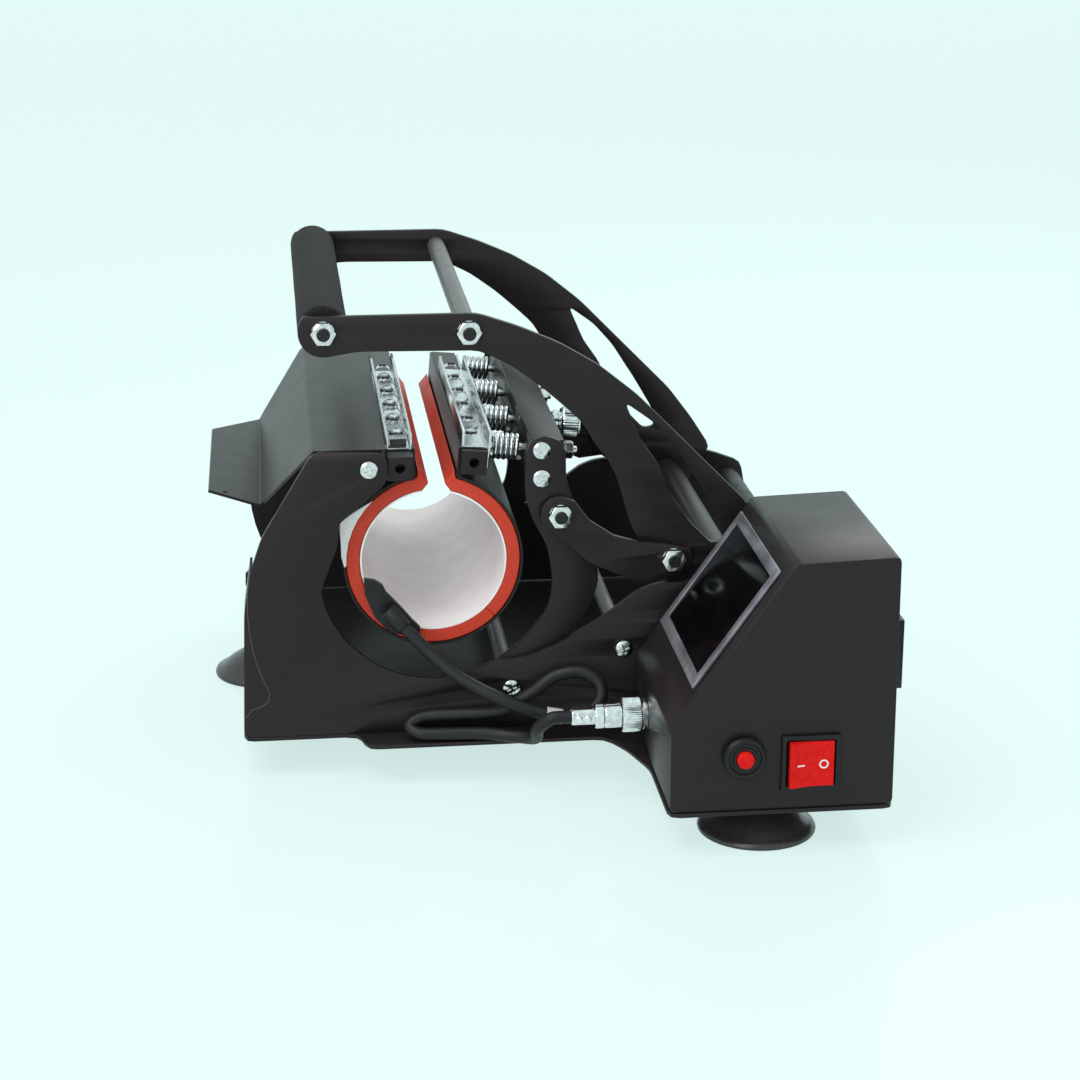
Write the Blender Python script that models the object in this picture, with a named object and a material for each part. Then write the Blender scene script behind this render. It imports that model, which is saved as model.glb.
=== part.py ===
"""Tumbler heat press: a sprung ring heater closed round a tumbler by a long four-bar lever.

Metres, +Z up. X runs along the lever, Y along the heater, and the bench is at Z zero.
The lever is down and the ring is closed, as it stands when it is put away.
"""
import math

import bmesh
import bpy
from mathutils import Matrix, Vector

# General sizes
touch_gap = 0.0003
overrun = 0.002
merge_distance = 0.000001
turned_sides = 20
corner_steps = 2

# Ring heater
tumbler_bore = 0.088
heater_length = 0.250
lining_thickness = 0.0010
pad_thickness = 0.0082
band_thickness = 0.0015
split_width = 0.0006
mouth_shift = 0.0026
mouth_half_inner = 0.0048
mouth_half_outer = 0.0112
mouth_lip = 0.0035
lip_rise_outer = 0.0049
lip_rise_inner = 0.0042
flange_clearance = 0.0016
ring_steps = 22

# Frame
side_plate_length = 0.3662
side_plate_height = 0.1804
side_plate_thickness = 0.004
arm_thickness = 0.004
plate_running_gap = 0.0005
frame_inner_width = 0.277
cutout_clearance = 0.0157
foot_height = 0.0237
foot_radius = 0.035
foot_neck_radius = 0.014
foot_dish_depth = 0.002
base_thickness = 0.0025
cover_thickness = 0.0018
end_cover_thickness = 0.0015
wing_reach = 0.032
wing_rise = 0.011
wing_length = 0.146
wing_hole_radius = 0.0025
wing_hole_from_tip = 0.010
wing_hole_from_edge = 0.005
cover_lap = 0.0027
ledge_depth = 0.021
base_lip = 0.001

# Shafts and fasteners
shaft_radius = 0.005
fulcrum_radius = 0.006
fulcrum_tube_radius = 0.011
running_clearance = 0.0003
nut_across_flats = 0.013
nut_height = 0.005
stud_radius = 0.004
stud_reach = 0.007
screw_head_radius = 0.0055
screw_head_height = 0.0025
stop_sleeve_radius = 0.009

# Lever and linkage
grip_radius = 0.015
cross_rod_radius = 0.006
arm_hub_radius = 0.018
link_pivot_boss_radius = 0.013
link_end_radius = 0.012
link_thickness = 0.004
jaw_pivot_boss_radius = 0.0145
jaw_thickness = 0.004
jaw_slot_radius = 0.009
jaw_slot_rim = 0.0027
heel_angle_deg = 30.5

# Clamping strips and springs
clamp_bar_width = 0.016
clamp_bar_height = 0.015
clamp_bar_rise = 0.0071
press_bar_length = 0.260
press_tilt_deg = 5.0
channel_sheet = 0.0015
channel_wall_height = 0.0105
channel_apron = 0.012
channel_length = 0.197
jaw_bar_width = 0.020
jaw_bar_height = 0.027
jaw_bar_drop = 0.005
spring_outer_radius = 0.0085
spring_wire_radius = 0.0011
spring_length = 0.0225
spring_turns = 5.5
spring_points_per_turn = 9
spring_pitch = 0.068
spring_count = 4
spring_axis_rise = 0.0042
spring_bolt_radius = 0.0025
spring_nut_across_flats = 0.010
bar_end_hole_radius = 0.003
bar_end_hole_depth = 0.012
knob_radius = 0.010
knob_length = 0.012
knob_neck_radius = 0.007
knob_stud_radius = 0.003
knob_rise = 0.013
knob_stand_off = 0.006

# Control box
box_width = 0.1296
box_height = 0.1492
box_depth = 0.1315
box_stand_off = 0.009
box_wall = 0.0015
box_corner_radius = 0.003
box_lid_thickness = 0.002
screen_width = 0.114
screen_height = 0.084
screen_start = 0.026
screen_back_margin = 0.0055
screen_frame = 0.007
screen_frame_proud = 0.0018
glass_thickness = 0.003
glass_recess = 0.0008
board_thickness = 0.0016
board_stand_off = 0.006
rocker_bezel = 0.034
rocker_bezel_proud = 0.002
rocker_body = 0.030
rocker_body_depth = 0.018
rocker_half_width = 0.013
rocker_height = 0.027
rocker_face_deg = 14.0
rocker_base_proud = 0.0015
breaker_collar_radius = 0.012
breaker_collar_proud = 0.004
breaker_barrel_radius = 0.008
breaker_barrel_depth = 0.022
button_radius = 0.005
button_proud = 0.003
button_travel = 0.003
button_stem_depth = 0.012
inlet_height = 0.042
inlet_width = 0.028
inlet_proud = 0.009
inlet_depth = 0.020
inlet_wall = 0.003
inlet_pocket_depth = 0.016
socket_flange_radius = 0.0095
socket_flange_thickness = 0.003
socket_stub_radius = 0.0065
socket_stub_length = 0.010
socket_inner_depth = 0.010
plug_ring_radius = 0.0105
plug_ring_length = 0.012
plug_body_radius = 0.0075
plug_body_length = 0.016
plug_clamp_radius = 0.005
plug_clamp_length = 0.014

# Heater lead
lead_radius = 0.004
boot_radius = 0.006
lead_steps = 76

# Places in the side plate's own frame, as shares of its length and height
ring_centre_shares = (0.3255, 0.583)
jaw_pivot_shares = (0.451, 0.145)
lower_tie_shares = (0.642, 0.273)
cover_tie_shares = (0.219, 0.938)
fulcrum_shares = (0.837, 0.445)
stop_shares = (0.962, 0.404)
grip_shares = (0.151, 1.398)
box_corner_shares = (0.660, 0.0)
lower_spacer_share = 0.15

# Places on the control box, as shares of its width, depth and height
rocker_shares = (0.622, 0.189)
breaker_shares = (0.325, 0.222)
socket_shares = (0.329, 0.175)
inlet_shares = (0.29, 0.55)
box_foot_share = 0.4444

# Base plate's ledge and the feet, as shares of the sizes that they follow
ledge_start_shares = (0.38, 0.36)
ledge_bend_shares = (0.5, 1.5, 3.0)
foot_row_share = 0.31
foot_neck_share = 0.72
foot_profile_shares = [(0.72, 0.42), (0.97, 0.14), (1.0, 0.0), (0.8, 0.0)]
foot_dish_shares = (0.5, 0.8)

# Places on the lever arm and the jaw, as shares of the span between two pivots
arm_link_pivot_shares = (0.160, 0.006)
arm_cross_rod_shares = (0.764, -0.155)
jaw_link_pivot_shares = (0.787, -0.088)


def polar(centre, radius, degrees):
    """Point at an angle on a circle in the X Z plane."""
    turn = math.radians(degrees)
    return (centre[0] + radius * math.cos(turn), centre[1] + radius * math.sin(turn))


def arc(centre, radius, start, end, steps):
    """Points along a round stretch, from one angle to another in degrees."""
    return [polar(centre, radius, start + (end - start) * k / steps) for k in range(steps + 1)]


def along(start, end, shares):
    """Points given as shares of the span between two places: along it and square to it."""
    run = Vector(end) - Vector(start)
    side = Vector((-run.y, run.x))
    return [tuple(Vector(start) + run * u + side * v) for u, v in shares]


def rounded(corners, radius):
    """Outline through the corners, each one turned into a smooth bend."""
    points = []
    count = len(corners)
    for k in range(count):
        corner = Vector(corners[k])
        before = Vector(corners[k - 1]) - corner
        after = Vector(corners[(k + 1) % count]) - corner
        cut = min(radius, before.length / 3, after.length / 3)
        start = corner + before.normalized() * cut
        end = corner + after.normalized() * cut
        for step in range(corner_steps + 1):
            t = step / corner_steps
            points.append(tuple(start * (1 - t) ** 2 + corner * 2 * t * (1 - t) + end * t ** 2))
    return points


def offset(points, distance):
    """Closed outline moved to its left by a distance (inwards, if it runs counterclockwise)."""
    moved = []
    count = len(points)
    for k in range(count):
        corner = Vector(points[k])
        first = (corner - Vector(points[k - 1])).normalized()
        second = (Vector(points[(k + 1) % count]) - corner).normalized()
        normals = Vector((-first.y, first.x)) + Vector((-second.y, second.x))
        moved.append(tuple(corner + normals * (2 * distance / normals.length_squared)))
    return moved


def sheet_section(line, thickness):
    """Closed section of a bent sheet that lies on the left of an open line."""
    moved = []
    last = len(line) - 1
    for k, place in enumerate(line):
        corner = Vector(place)
        first = (corner - Vector(line[max(k - 1, 0)])).normalized()
        second = (Vector(line[min(k + 1, last)]) - corner).normalized()
        first = first if k > 0 else second
        second = second if k < last else first
        normals = Vector((-first.y, first.x)) + Vector((-second.y, second.x))
        moved.append(tuple(corner + normals * (2 * thickness / normals.length_squared)))
    return list(line) + moved[::-1]


# Section of the press, worked out from the sizes above
plate_left = -ring_centre_shares[0] * side_plate_length
plate_bottom = foot_height + touch_gap + base_thickness + touch_gap


def plate_place(shares):
    """Place in the side plate's frame."""
    return (plate_left + shares[0] * side_plate_length, plate_bottom + shares[1] * side_plate_height)


ring_centre = plate_place(ring_centre_shares)
jaw_pivot = plate_place(jaw_pivot_shares)
lower_tie = plate_place(lower_tie_shares)
cover_tie = plate_place(cover_tie_shares)
fulcrum = plate_place(fulcrum_shares)
stop_centre = plate_place(stop_shares)
grip_centre = plate_place(grip_shares)
link_pivot = along(fulcrum, grip_centre, [arm_link_pivot_shares])[0]
cross_rod = along(fulcrum, grip_centre, [arm_cross_rod_shares])[0]

bore_radius = tumbler_bore / 2
pad_inner = bore_radius + lining_thickness + touch_gap
pad_outer = pad_inner + pad_thickness
band_inner = pad_outer + touch_gap
band_outer = band_inner + band_thickness
mouth_x = ring_centre[0] + mouth_shift
flange_offset = mouth_half_outer + flange_clearance

plate_inner_y = frame_inner_width / 2
plate_middle_y = plate_inner_y + side_plate_thickness / 2
plate_outer_y = plate_inner_y + side_plate_thickness
arm_outer_y = plate_inner_y - plate_running_gap
arm_middle_y = arm_outer_y - arm_thickness / 2
arm_inner_y = arm_outer_y - arm_thickness
between_arms = 2 * (arm_inner_y - touch_gap)
between_plates = 2 * (plate_inner_y - touch_gap)

clamp_bar_x = mouth_x - flange_offset - band_thickness - touch_gap - clamp_bar_width / 2
clamp_bar_z = ring_centre[1] + band_outer + clamp_bar_rise
press_bar_centre = (mouth_x + flange_offset + band_thickness + touch_gap + clamp_bar_width / 2, clamp_bar_z)
press_tilt = math.radians(press_tilt_deg)
press_along = Vector((math.cos(press_tilt), -math.sin(press_tilt)))
press_across = Vector((math.sin(press_tilt), math.cos(press_tilt)))


def strip_place(u, v):
    """Place in the tilted frame of the pressing strip: u towards the jaw bar, v upwards."""
    return tuple(Vector(press_bar_centre) + press_along * u + press_across * v)


apron_inner = clamp_bar_width / 2 + touch_gap
apron_outer = apron_inner + channel_sheet
spring_start = apron_outer + touch_gap
spring_end = spring_start + spring_length
jaw_bar_near = spring_end + touch_gap
jaw_bar_far = jaw_bar_near + jaw_bar_width
jaw_bar_centre = strip_place(jaw_bar_near + jaw_bar_width / 2, jaw_bar_drop)
jaw_link_pivot = along(jaw_pivot, jaw_bar_centre, [jaw_link_pivot_shares])[0]
spring_stations = [spring_pitch * (k - (spring_count - 1) / 2) for k in range(spring_count)]
knob_station = (spring_stations[0] + spring_stations[1]) / 2

box_left, box_bottom = plate_place(box_corner_shares)
box_back_y = -plate_outer_y - box_stand_off
box_front_y = box_back_y - box_depth

materials = {}
parts = bpy.data.collections.new("tumbler_heat_press")


def clear_scene():
    """Start from an empty scene."""
    for obj in list(bpy.data.objects):
        bpy.data.objects.remove(obj)
    bpy.context.scene.collection.children.link(parts)


def material(name, colour, roughness, metallic):
    """Principled material with the colour, roughness and metallic value of the piece."""
    made = bpy.data.materials.new(name)
    made.use_nodes = True
    shader = made.node_tree.nodes["Principled BSDF"]
    shader.inputs["Base Color"].default_value = (*colour, 1)
    shader.inputs["Roughness"].default_value = roughness
    shader.inputs["Metallic"].default_value = metallic
    materials[name] = made


def make_materials():
    """Materials of the press."""
    material("black_steel", (0.018, 0.018, 0.020), 0.45, 0.3)
    material("bright_steel", (0.62, 0.62, 0.63), 0.25, 1)
    material("silicone", (0.46, 0.062, 0.030), 0.55, 0)
    material("lining", (0.80, 0.80, 0.80), 0.35, 0.6)
    material("black_foam", (0.012, 0.012, 0.013), 0.85, 0)
    material("black_rubber", (0.010, 0.010, 0.011), 0.6, 0)
    material("black_plastic", (0.012, 0.012, 0.013), 0.4, 0)
    material("red_plastic", (0.62, 0.010, 0.012), 0.25, 0)
    material("glass", (0.006, 0.006, 0.008), 0.08, 0)
    material("board_green", (0.020, 0.16, 0.060), 0.5, 0)


def add(name, data, finish, parent):
    """Named object in the parts collection."""
    obj = bpy.data.objects.new(name, data)
    data.materials.append(materials[finish])
    parts.objects.link(obj)
    obj.parent = parent
    if parent:
        obj.matrix_parent_inverse = Matrix.Translation(-parent.location)
    return obj


def pivot(name, place, y=0.0):
    """Empty on a joint's axis."""
    empty = bpy.data.objects.new(name, None)
    empty.location = (place[0], y, place[1])
    parts.objects.link(empty)
    return empty


def outline_curve(name, outlines, thickness):
    """Flat 2D curve with holes, extruded to a thickness."""
    curve = bpy.data.curves.new(name, "CURVE")
    curve.dimensions = "2D"
    curve.fill_mode = "BOTH"
    curve.extrude = thickness / 2
    for outline in outlines:
        spline = curve.splines.new("POLY")
        spline.points.add(len(outline) - 1)
        for point, place in zip(spline.points, outline):
            point.co = (place[0], place[1], 0, 1)
        spline.use_cyclic_u = True
    return curve


def upright(name, outlines, middle_y, thickness, finish, parent):
    """Plate or bar with its outline in the X Z plane."""
    obj = add(name, outline_curve(name, outlines, thickness), finish, parent)
    obj.location = (0, middle_y, 0)
    obj.rotation_euler = (math.pi / 2, 0, 0)
    return obj


def flat(name, outlines, middle_z, thickness, finish, parent):
    """Plate with its outline in the X Y plane."""
    obj = add(name, outline_curve(name, outlines, thickness), finish, parent)
    obj.location = (0, 0, middle_z)
    return obj


def hole(centre, radius, sides=12):
    """Round hole outline."""
    return [polar(centre, radius, 360 * k / sides) for k in range(sides)]


def solid(name, build, finish, parent):
    """Object whose mesh a function builds in bmesh."""
    mesh = bpy.data.meshes.new(name)
    work = bmesh.new()
    build(work)
    work.to_mesh(mesh)
    work.free()
    return add(name, mesh, finish, parent)


def cylinder(name, start, end, radius, finish, parent, sides=turned_sides):
    """Round bar between two points."""
    start, end = Vector(start), Vector(end)
    turn = (end - start).to_track_quat("Z", "Y").to_matrix().to_4x4()
    place = Matrix.Translation((start + end) / 2) @ turn

    def build(work):
        bmesh.ops.create_cone(work, cap_ends=True, segments=sides, radius1=radius, radius2=radius,
                              depth=(end - start).length, matrix=place)
    return solid(name, build, finish, parent)


def cross_bar(name, place, half_length, radius, finish, parent, sides=turned_sides):
    """Round bar along Y, the same length each side of the middle."""
    return cylinder(name, (place[0], -half_length, place[1]), (place[0], half_length, place[1]),
                    radius, finish, parent, sides)


def block(name, low, high, finish, parent):
    """Box between two corners."""
    low, high = Vector(low), Vector(high)

    def build(work):
        size = Matrix.Diagonal((high - low).to_4d())
        size[3][3] = 1
        bmesh.ops.create_cube(work, size=1, matrix=Matrix.Translation((low + high) / 2) @ size)
    return solid(name, build, finish, parent)


def bake(obj, modifiers):
    """Apply modifiers that use other objects, and drop those objects."""
    bpy.context.view_layer.update()
    seen = obj.evaluated_get(bpy.context.evaluated_depsgraph_get())
    mesh = bpy.data.meshes.new_from_object(seen)
    for modifier in modifiers:
        helper = modifier.object
        obj.modifiers.remove(modifier)
        bpy.data.objects.remove(helper)
    obj.data = mesh


def as_mesh(obj):
    """Turn a curve object into a closed mesh object of the same name."""
    if obj.type == "MESH":
        return obj
    bpy.context.view_layer.update()
    seen = obj.evaluated_get(bpy.context.evaluated_depsgraph_get())
    mesh = bpy.data.meshes.new_from_object(seen)
    work = bmesh.new()
    work.from_mesh(mesh)
    bmesh.ops.remove_doubles(work, verts=work.verts, dist=merge_distance)
    bmesh.ops.recalc_face_normals(work, faces=work.faces)
    work.to_mesh(mesh)
    work.free()
    name, place = obj.name, obj.matrix_world.copy()
    parent = obj.parent
    bpy.data.objects.remove(obj)
    made = bpy.data.objects.new(name, mesh)
    made.name = name
    parts.objects.link(made)
    made.parent = parent
    if parent:
        made.matrix_parent_inverse = Matrix.Translation(-parent.location)
    made.matrix_basis = place
    return made


def boolean(base, others, operation):
    """Union or difference of one object with several others, made at once."""
    base = as_mesh(base)
    made = []
    for other in others:
        modifier = base.modifiers.new(operation.lower(), "BOOLEAN")
        modifier.operation = operation
        modifier.object = as_mesh(other)
        made.append(modifier)
    bake(base, made)
    return base


def fuse(base, others):
    """One closed body from several."""
    return boolean(base, others, "UNION")


def cut(base, cutters):
    """Take the cutters out of a body."""
    return boolean(base, cutters, "DIFFERENCE")


def hex_nut(place, start_y, height, across, parent, name="nut"):
    """Hexagon nut on a bar along Y, from one face."""
    start = (place[0], start_y, place[1])
    end = (place[0], start_y + height, place[1])
    radius = across / 2 / math.cos(math.pi / 6)
    return cylinder(name, start, end, radius, "bright_steel", parent, sides=6)


def bolted_bar(name, place, half_length, radius, seat_y, finish, parent, stud=None):
    """Cross bar with a hexagon nut and a stud's end outside each seat."""
    bar = cross_bar(name, place, half_length, radius, finish, parent)
    added = []
    reach = seat_y + nut_height + stud_reach / 3
    stud = stud or radius
    added.append(cross_bar("stud", place, reach, stud, finish, parent))
    for side in (-1, 1):
        added.append(hex_nut(place, side * seat_y, side * nut_height, nut_across_flats, parent))
    return fuse(bar, added)


# Outlines, as shares of the sizes that they follow
plate_left_edge_shares = [(0.128, 1.0), (0.041, 0.711), (0.022, 0.600), (0.008, 0.450), (0.0, 0.0)]
plate_right_edge_shares = [(0.94, 0.0), (1.0, 0.35), (0.989, 0.475), (0.930, 0.520), (0.872, 0.545),
                           (0.795, 0.555), (0.737, 0.503), (0.712, 0.505), (0.690, 0.497),
                           (0.665, 0.477), (0.598, 0.375), (0.531, 0.297), (0.481, 0.257)]
plate_step_shares = [(0.166, 0.680), (0.167, 0.753), (0.206, 0.816)]
arm_under_shares = [(0.925, -0.004), (0.727, -0.135), (0.662, -0.144), (0.590, -0.142), (0.525, -0.134),
                    (0.474, -0.126), (0.424, -0.102), (0.393, -0.093), (0.355, -0.073),
                    (0.325, -0.050), (0.286, -0.016), (0.247, 0.011)]
arm_top_shares = [(0.028, -0.144), (0.114, -0.173), (0.243, -0.198), (0.412, -0.231), (0.514, -0.239),
                  (0.605, -0.233), (0.688, -0.217), (0.771, -0.194), (0.967, -0.060)]
arm_window_shares = [(0.425, -0.205), (0.351, -0.158), (0.290, -0.135), (0.244, -0.102), (0.176, -0.074),
                     (0.110, -0.060), (0.090, -0.078), (0.118, -0.110), (0.194, -0.146),
                     (0.290, -0.187), (0.354, -0.203)]
link_top_shares = [(0.934, -0.147), (0.761, -0.046), (0.528, -0.002), (0.322, -0.025), (0.132, -0.086)]
link_under_shares = [(0.187, 0.289), (0.622, 0.282), (0.985, 0.160)]
jaw_left_shares = [(1.086, 0.078), (1.020, 0.091), (0.922, 0.080), (0.836, 0.064), (0.751, 0.023),
                   (0.635, -0.062), (0.495, -0.107), (0.382, -0.110), (0.287, -0.071),
                   (0.189, -0.011), (0.101, 0.080)]
jaw_right_shares = [(0.231, -0.201), (0.400, -0.286), (0.515, -0.304), (0.653, -0.260)]
jaw_top_shares = [(0.939, -0.093), (1.050, -0.074), (1.099, -0.046), (1.114, 0.019)]
box_section_shares = [(0.0, 0.0), (1.0, 0.0), (0.992, 1.0), (0.535, 0.987), (0.0, 0.33)]
slant_low_shares = box_section_shares[4]
slant_high_shares = box_section_shares[3]


def side_plate_outline():
    """C-shaped side plate that stops at the fixed clamp bar."""
    bar_edge = clamp_bar_x - clamp_bar_width / 2 - touch_gap
    top = plate_place(plate_left_edge_shares[0])[1]
    corners = [(bar_edge, clamp_bar_z - clamp_bar_height / 2)]
    corners.append((bar_edge, top - cover_thickness))
    corners += [plate_place(s) for s in plate_left_edge_shares + plate_right_edge_shares]
    corners += arc(ring_centre, band_outer + cutout_clearance, -60, -170, 12)
    corners += [plate_place(s) for s in plate_step_shares]
    return rounded(corners, shaft_radius)


def make_frame(root):
    """Side plates, base plate, covers, tie bars and feet."""
    outlines = [side_plate_outline()]
    for place, radius in ((jaw_pivot, shaft_radius), (lower_tie, shaft_radius), (cover_tie, stud_radius),
                          (fulcrum, fulcrum_radius), (stop_centre, shaft_radius)):
        outlines.append(hole(place, radius + running_clearance))
    for name, side in (("front_side_plate", -1), ("rear_side_plate", 1)):
        upright(name, outlines, side * plate_middle_y, side_plate_thickness, "black_steel", root)

    seat = plate_outer_y + touch_gap
    reach = seat + nut_height + stud_reach / 3
    half = between_plates / 2
    jaw_reach = arm_inner_y - touch_gap
    bolted_bar("jaw_pivot_shaft", jaw_pivot, jaw_reach, shaft_radius, seat, "bright_steel", root)
    bolted_bar("lower_tie_rod", lower_tie, half, shaft_radius, seat, "bright_steel", root, stud_radius)
    bolted_bar("fulcrum_shaft", fulcrum, half, fulcrum_radius, seat, "bright_steel", root)
    sleeve = cross_bar("stop_bar", stop_centre, half, stop_sleeve_radius, "black_rubber", root)
    fuse(sleeve, [cross_bar("core", stop_centre, reach - nut_height, shaft_radius, "bright_steel", root)])
    tie = cross_bar("cover_tie_rod", cover_tie, half, shaft_radius, "bright_steel", root)
    ends = [cross_bar("core", cover_tie, seat + touch_gap, stud_radius, "bright_steel", root)]
    for side in (-1, 1):
        start = (cover_tie[0], side * seat, cover_tie[1])
        end = (cover_tie[0], side * (seat + screw_head_height), cover_tie[1])
        ends.append(cylinder("head", start, end, screw_head_radius, "bright_steel", root))
    fuse(tie, ends)
    make_base(root)
    make_covers(root)


def make_base(root):
    """Base plate with the control box's outrigger, on three suction feet."""
    left, right = plate_place((0, 0))[0], box_left + box_width + base_lip
    back = plate_outer_y
    ledge = -plate_outer_y - ledge_depth
    box_end = box_front_y - base_lip
    ledge_starts = [jaw_pivot[0] - heater_length * share for share in ledge_start_shares]
    near_bend, first_bend, last_bend = [ledge_depth * share for share in ledge_bend_shares]
    corners = [(left, back), (left, -plate_outer_y), (ledge_starts[0], -plate_outer_y)]
    corners += [(ledge_starts[1], ledge), (box_left - ledge_depth, ledge),
                (box_left - near_bend, box_back_y - first_bend),
                (box_left - base_lip, box_back_y - last_bend), (box_left - base_lip, box_end),
                (right, box_end), (right, back)]
    base_z = foot_height + touch_gap + base_thickness / 2
    flat("base_plate", [rounded(corners, foot_neck_radius / 2)], base_z, base_thickness, "black_steel", root)

    foot_x = left + foot_neck_radius
    box_foot_x = box_left + box_width * box_foot_share
    box_foot_y = box_front_y + foot_radius
    row_y = plate_middle_y * foot_row_share
    for name, x, y in (("rear_left_foot", foot_x, row_y),
                       ("rear_right_foot", box_foot_x - foot_neck_radius, row_y),
                       ("box_foot", box_foot_x, box_foot_y)):
        turned_foot(name, x, y, root)


def turned_foot(name, x, y, root):
    """Rubber suction foot: a turned profile with a shallow dish underneath."""
    profile = [(0, foot_height), (foot_neck_radius, foot_height),
               (foot_neck_radius, foot_height * foot_neck_share)]
    profile += [(foot_radius * out, foot_height * up) for out, up in foot_profile_shares]
    profile += [(foot_radius * foot_dish_shares[0], foot_dish_depth * foot_dish_shares[1]),
                (0, foot_dish_depth)]

    def build(work):
        verts = [work.verts.new((r, 0, z)) for r, z in profile]
        edges = [work.edges.new(pair) for pair in zip(verts, verts[1:])]
        bmesh.ops.spin(work, geom=verts + edges, axis=(0, 0, 1), cent=(0, 0, 0), angle=math.tau,
                       steps=turned_sides, use_merge=True)
        bmesh.ops.remove_doubles(work, verts=work.verts, dist=merge_distance)
        bmesh.ops.recalc_face_normals(work, faces=work.faces)
    foot = solid(name, build, "black_rubber", root)
    foot.location = (x, y, 0)
    return foot


def make_covers(root):
    """Bent top cover with its wing, and the end cover below it."""
    bar_edge = clamp_bar_x - clamp_bar_width / 2 - touch_gap
    peak, knee, hip, waist, toe = [plate_place(s) for s in plate_left_edge_shares]
    tip = (knee[0] - wing_reach, knee[1] + wing_rise)
    line = [(bar_edge, peak[1] - touch_gap), peak, knee, tip]
    cover = upright("top_cover", [sheet_section(line, cover_thickness)], 0, between_plates,
                    "black_steel", root)
    half, wide, end = wing_length / 2, between_plates / 2, tip[0] - overrun
    middle, deep = (peak[1] + knee[1]) / 2, 2 * (peak[1] - knee[1])
    cutters = []
    for side in (-1, 1):
        corner = [(peak[0] - touch_gap, wide), (knee[0], half), (end, half), (end, wide + overrun),
                  (peak[0] - touch_gap, wide + overrun)]
        corner = [(x, side * y) for x, y in corner]
        cutters.append(flat("corner", [corner], middle, deep, "black_steel", root))
    pin_hole = hole((tip[0] + wing_hole_from_tip, -half + wing_hole_from_edge), wing_hole_radius)
    cutters.append(flat("pin_hole", [pin_hole], middle, deep, "black_steel", root))
    cut(cover, cutters)
    start = tuple(Vector(knee) + (Vector(hip) - Vector(knee)).normalized() * cover_lap)
    upright("end_cover", [sheet_section([start, hip, waist, toe], end_cover_thickness)], 0,
            between_plates, "black_steel", root)


def ring_half(inner, outer, side):
    """Half of a pad ring, from the split at the bottom to its lipped end at the mouth."""
    half_split = math.degrees(split_width / 2 / inner)
    outer_end = mouth_half_outer + side * mouth_shift
    inner_end = mouth_half_inner + side * mouth_shift
    top_outer = 90 - math.degrees(math.asin((outer_end + flange_clearance / 2) / outer))
    top_inner = 90 - math.degrees(math.asin((inner_end + mouth_lip) / inner))
    points = arc((0, 0), outer, -90 + half_split, top_outer, ring_steps)
    points.append((outer_end, math.sqrt(outer ** 2 - outer_end ** 2) + lip_rise_outer))
    points.append((inner_end, math.sqrt(inner ** 2 - inner_end ** 2) + lip_rise_inner))
    points += arc((0, 0), inner, top_inner, -90 + half_split, ring_steps)
    return [(ring_centre[0] + side * x, ring_centre[1] + z) for x, z in points]


def thin_half(inner, outer, side):
    """Half of the inner lining, which ends at the mouth."""
    half_split = math.degrees(split_width / 2 / inner)
    reach = mouth_half_inner + mouth_lip + side * mouth_shift
    top = 90 - math.degrees(math.asin(reach / inner))
    points = arc((0, 0), outer, -90 + half_split, top, ring_steps)
    points += arc((0, 0), inner, top, -90 + half_split, ring_steps)
    return [(ring_centre[0] + side * x, ring_centre[1] + z) for x, z in points]


def band_half(side):
    """Half of the outer band, which turns up at the mouth and stands against its clamp bar."""
    half_split = math.degrees(split_width / 2 / band_inner)
    flange = flange_offset + side * mouth_shift
    top_outer = 90 - math.degrees(math.asin((flange + band_thickness * 2) / band_outer))
    top_inner = 90 - math.degrees(math.asin((flange + band_thickness) / band_inner))
    rise = clamp_bar_z + clamp_bar_height / 2 - ring_centre[1] + band_thickness
    foot = math.sqrt(band_outer ** 2 - flange ** 2) + band_thickness / 2
    lean = math.tan(press_tilt) * (rise - foot) / 2 if side > 0 else 0
    points = arc((0, 0), band_outer, -90 + half_split, top_outer, ring_steps)
    points.append((flange + band_thickness - lean, foot))
    points += [(flange + band_thickness + lean, rise), (flange + lean, rise)]
    points.append((flange - lean, foot - band_thickness / 2))
    points += arc((0, 0), band_inner, top_inner, -90 + half_split, ring_steps)
    return [(ring_centre[0] + side * x, ring_centre[1] + z) for x, z in points]


def make_heater(root, strip):
    """Lining, silicone pad and outer band, each split at the bottom of the ring."""
    for side, word, parent in ((-1, "left", root), (1, "right", strip)):
        upright("heater_band_" + word, [band_half(side)], 0, heater_length, "bright_steel", parent)
        upright("heater_pad_" + word, [ring_half(pad_inner, pad_outer, side)], 0, heater_length,
                "silicone", parent)
        upright("heater_lining_" + word, [thin_half(bore_radius, bore_radius + lining_thickness, side)],
                0, heater_length, "lining", parent)


def bar_end_hole(place, end_y, parent):
    """Blind hole in the front end of a clamp bar."""
    start = (place[0], end_y - overrun, place[1])
    end = (place[0], end_y + bar_end_hole_depth, place[1])
    return cylinder("bar_hole", start, end, bar_end_hole_radius, "black_steel", parent, 12)


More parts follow.
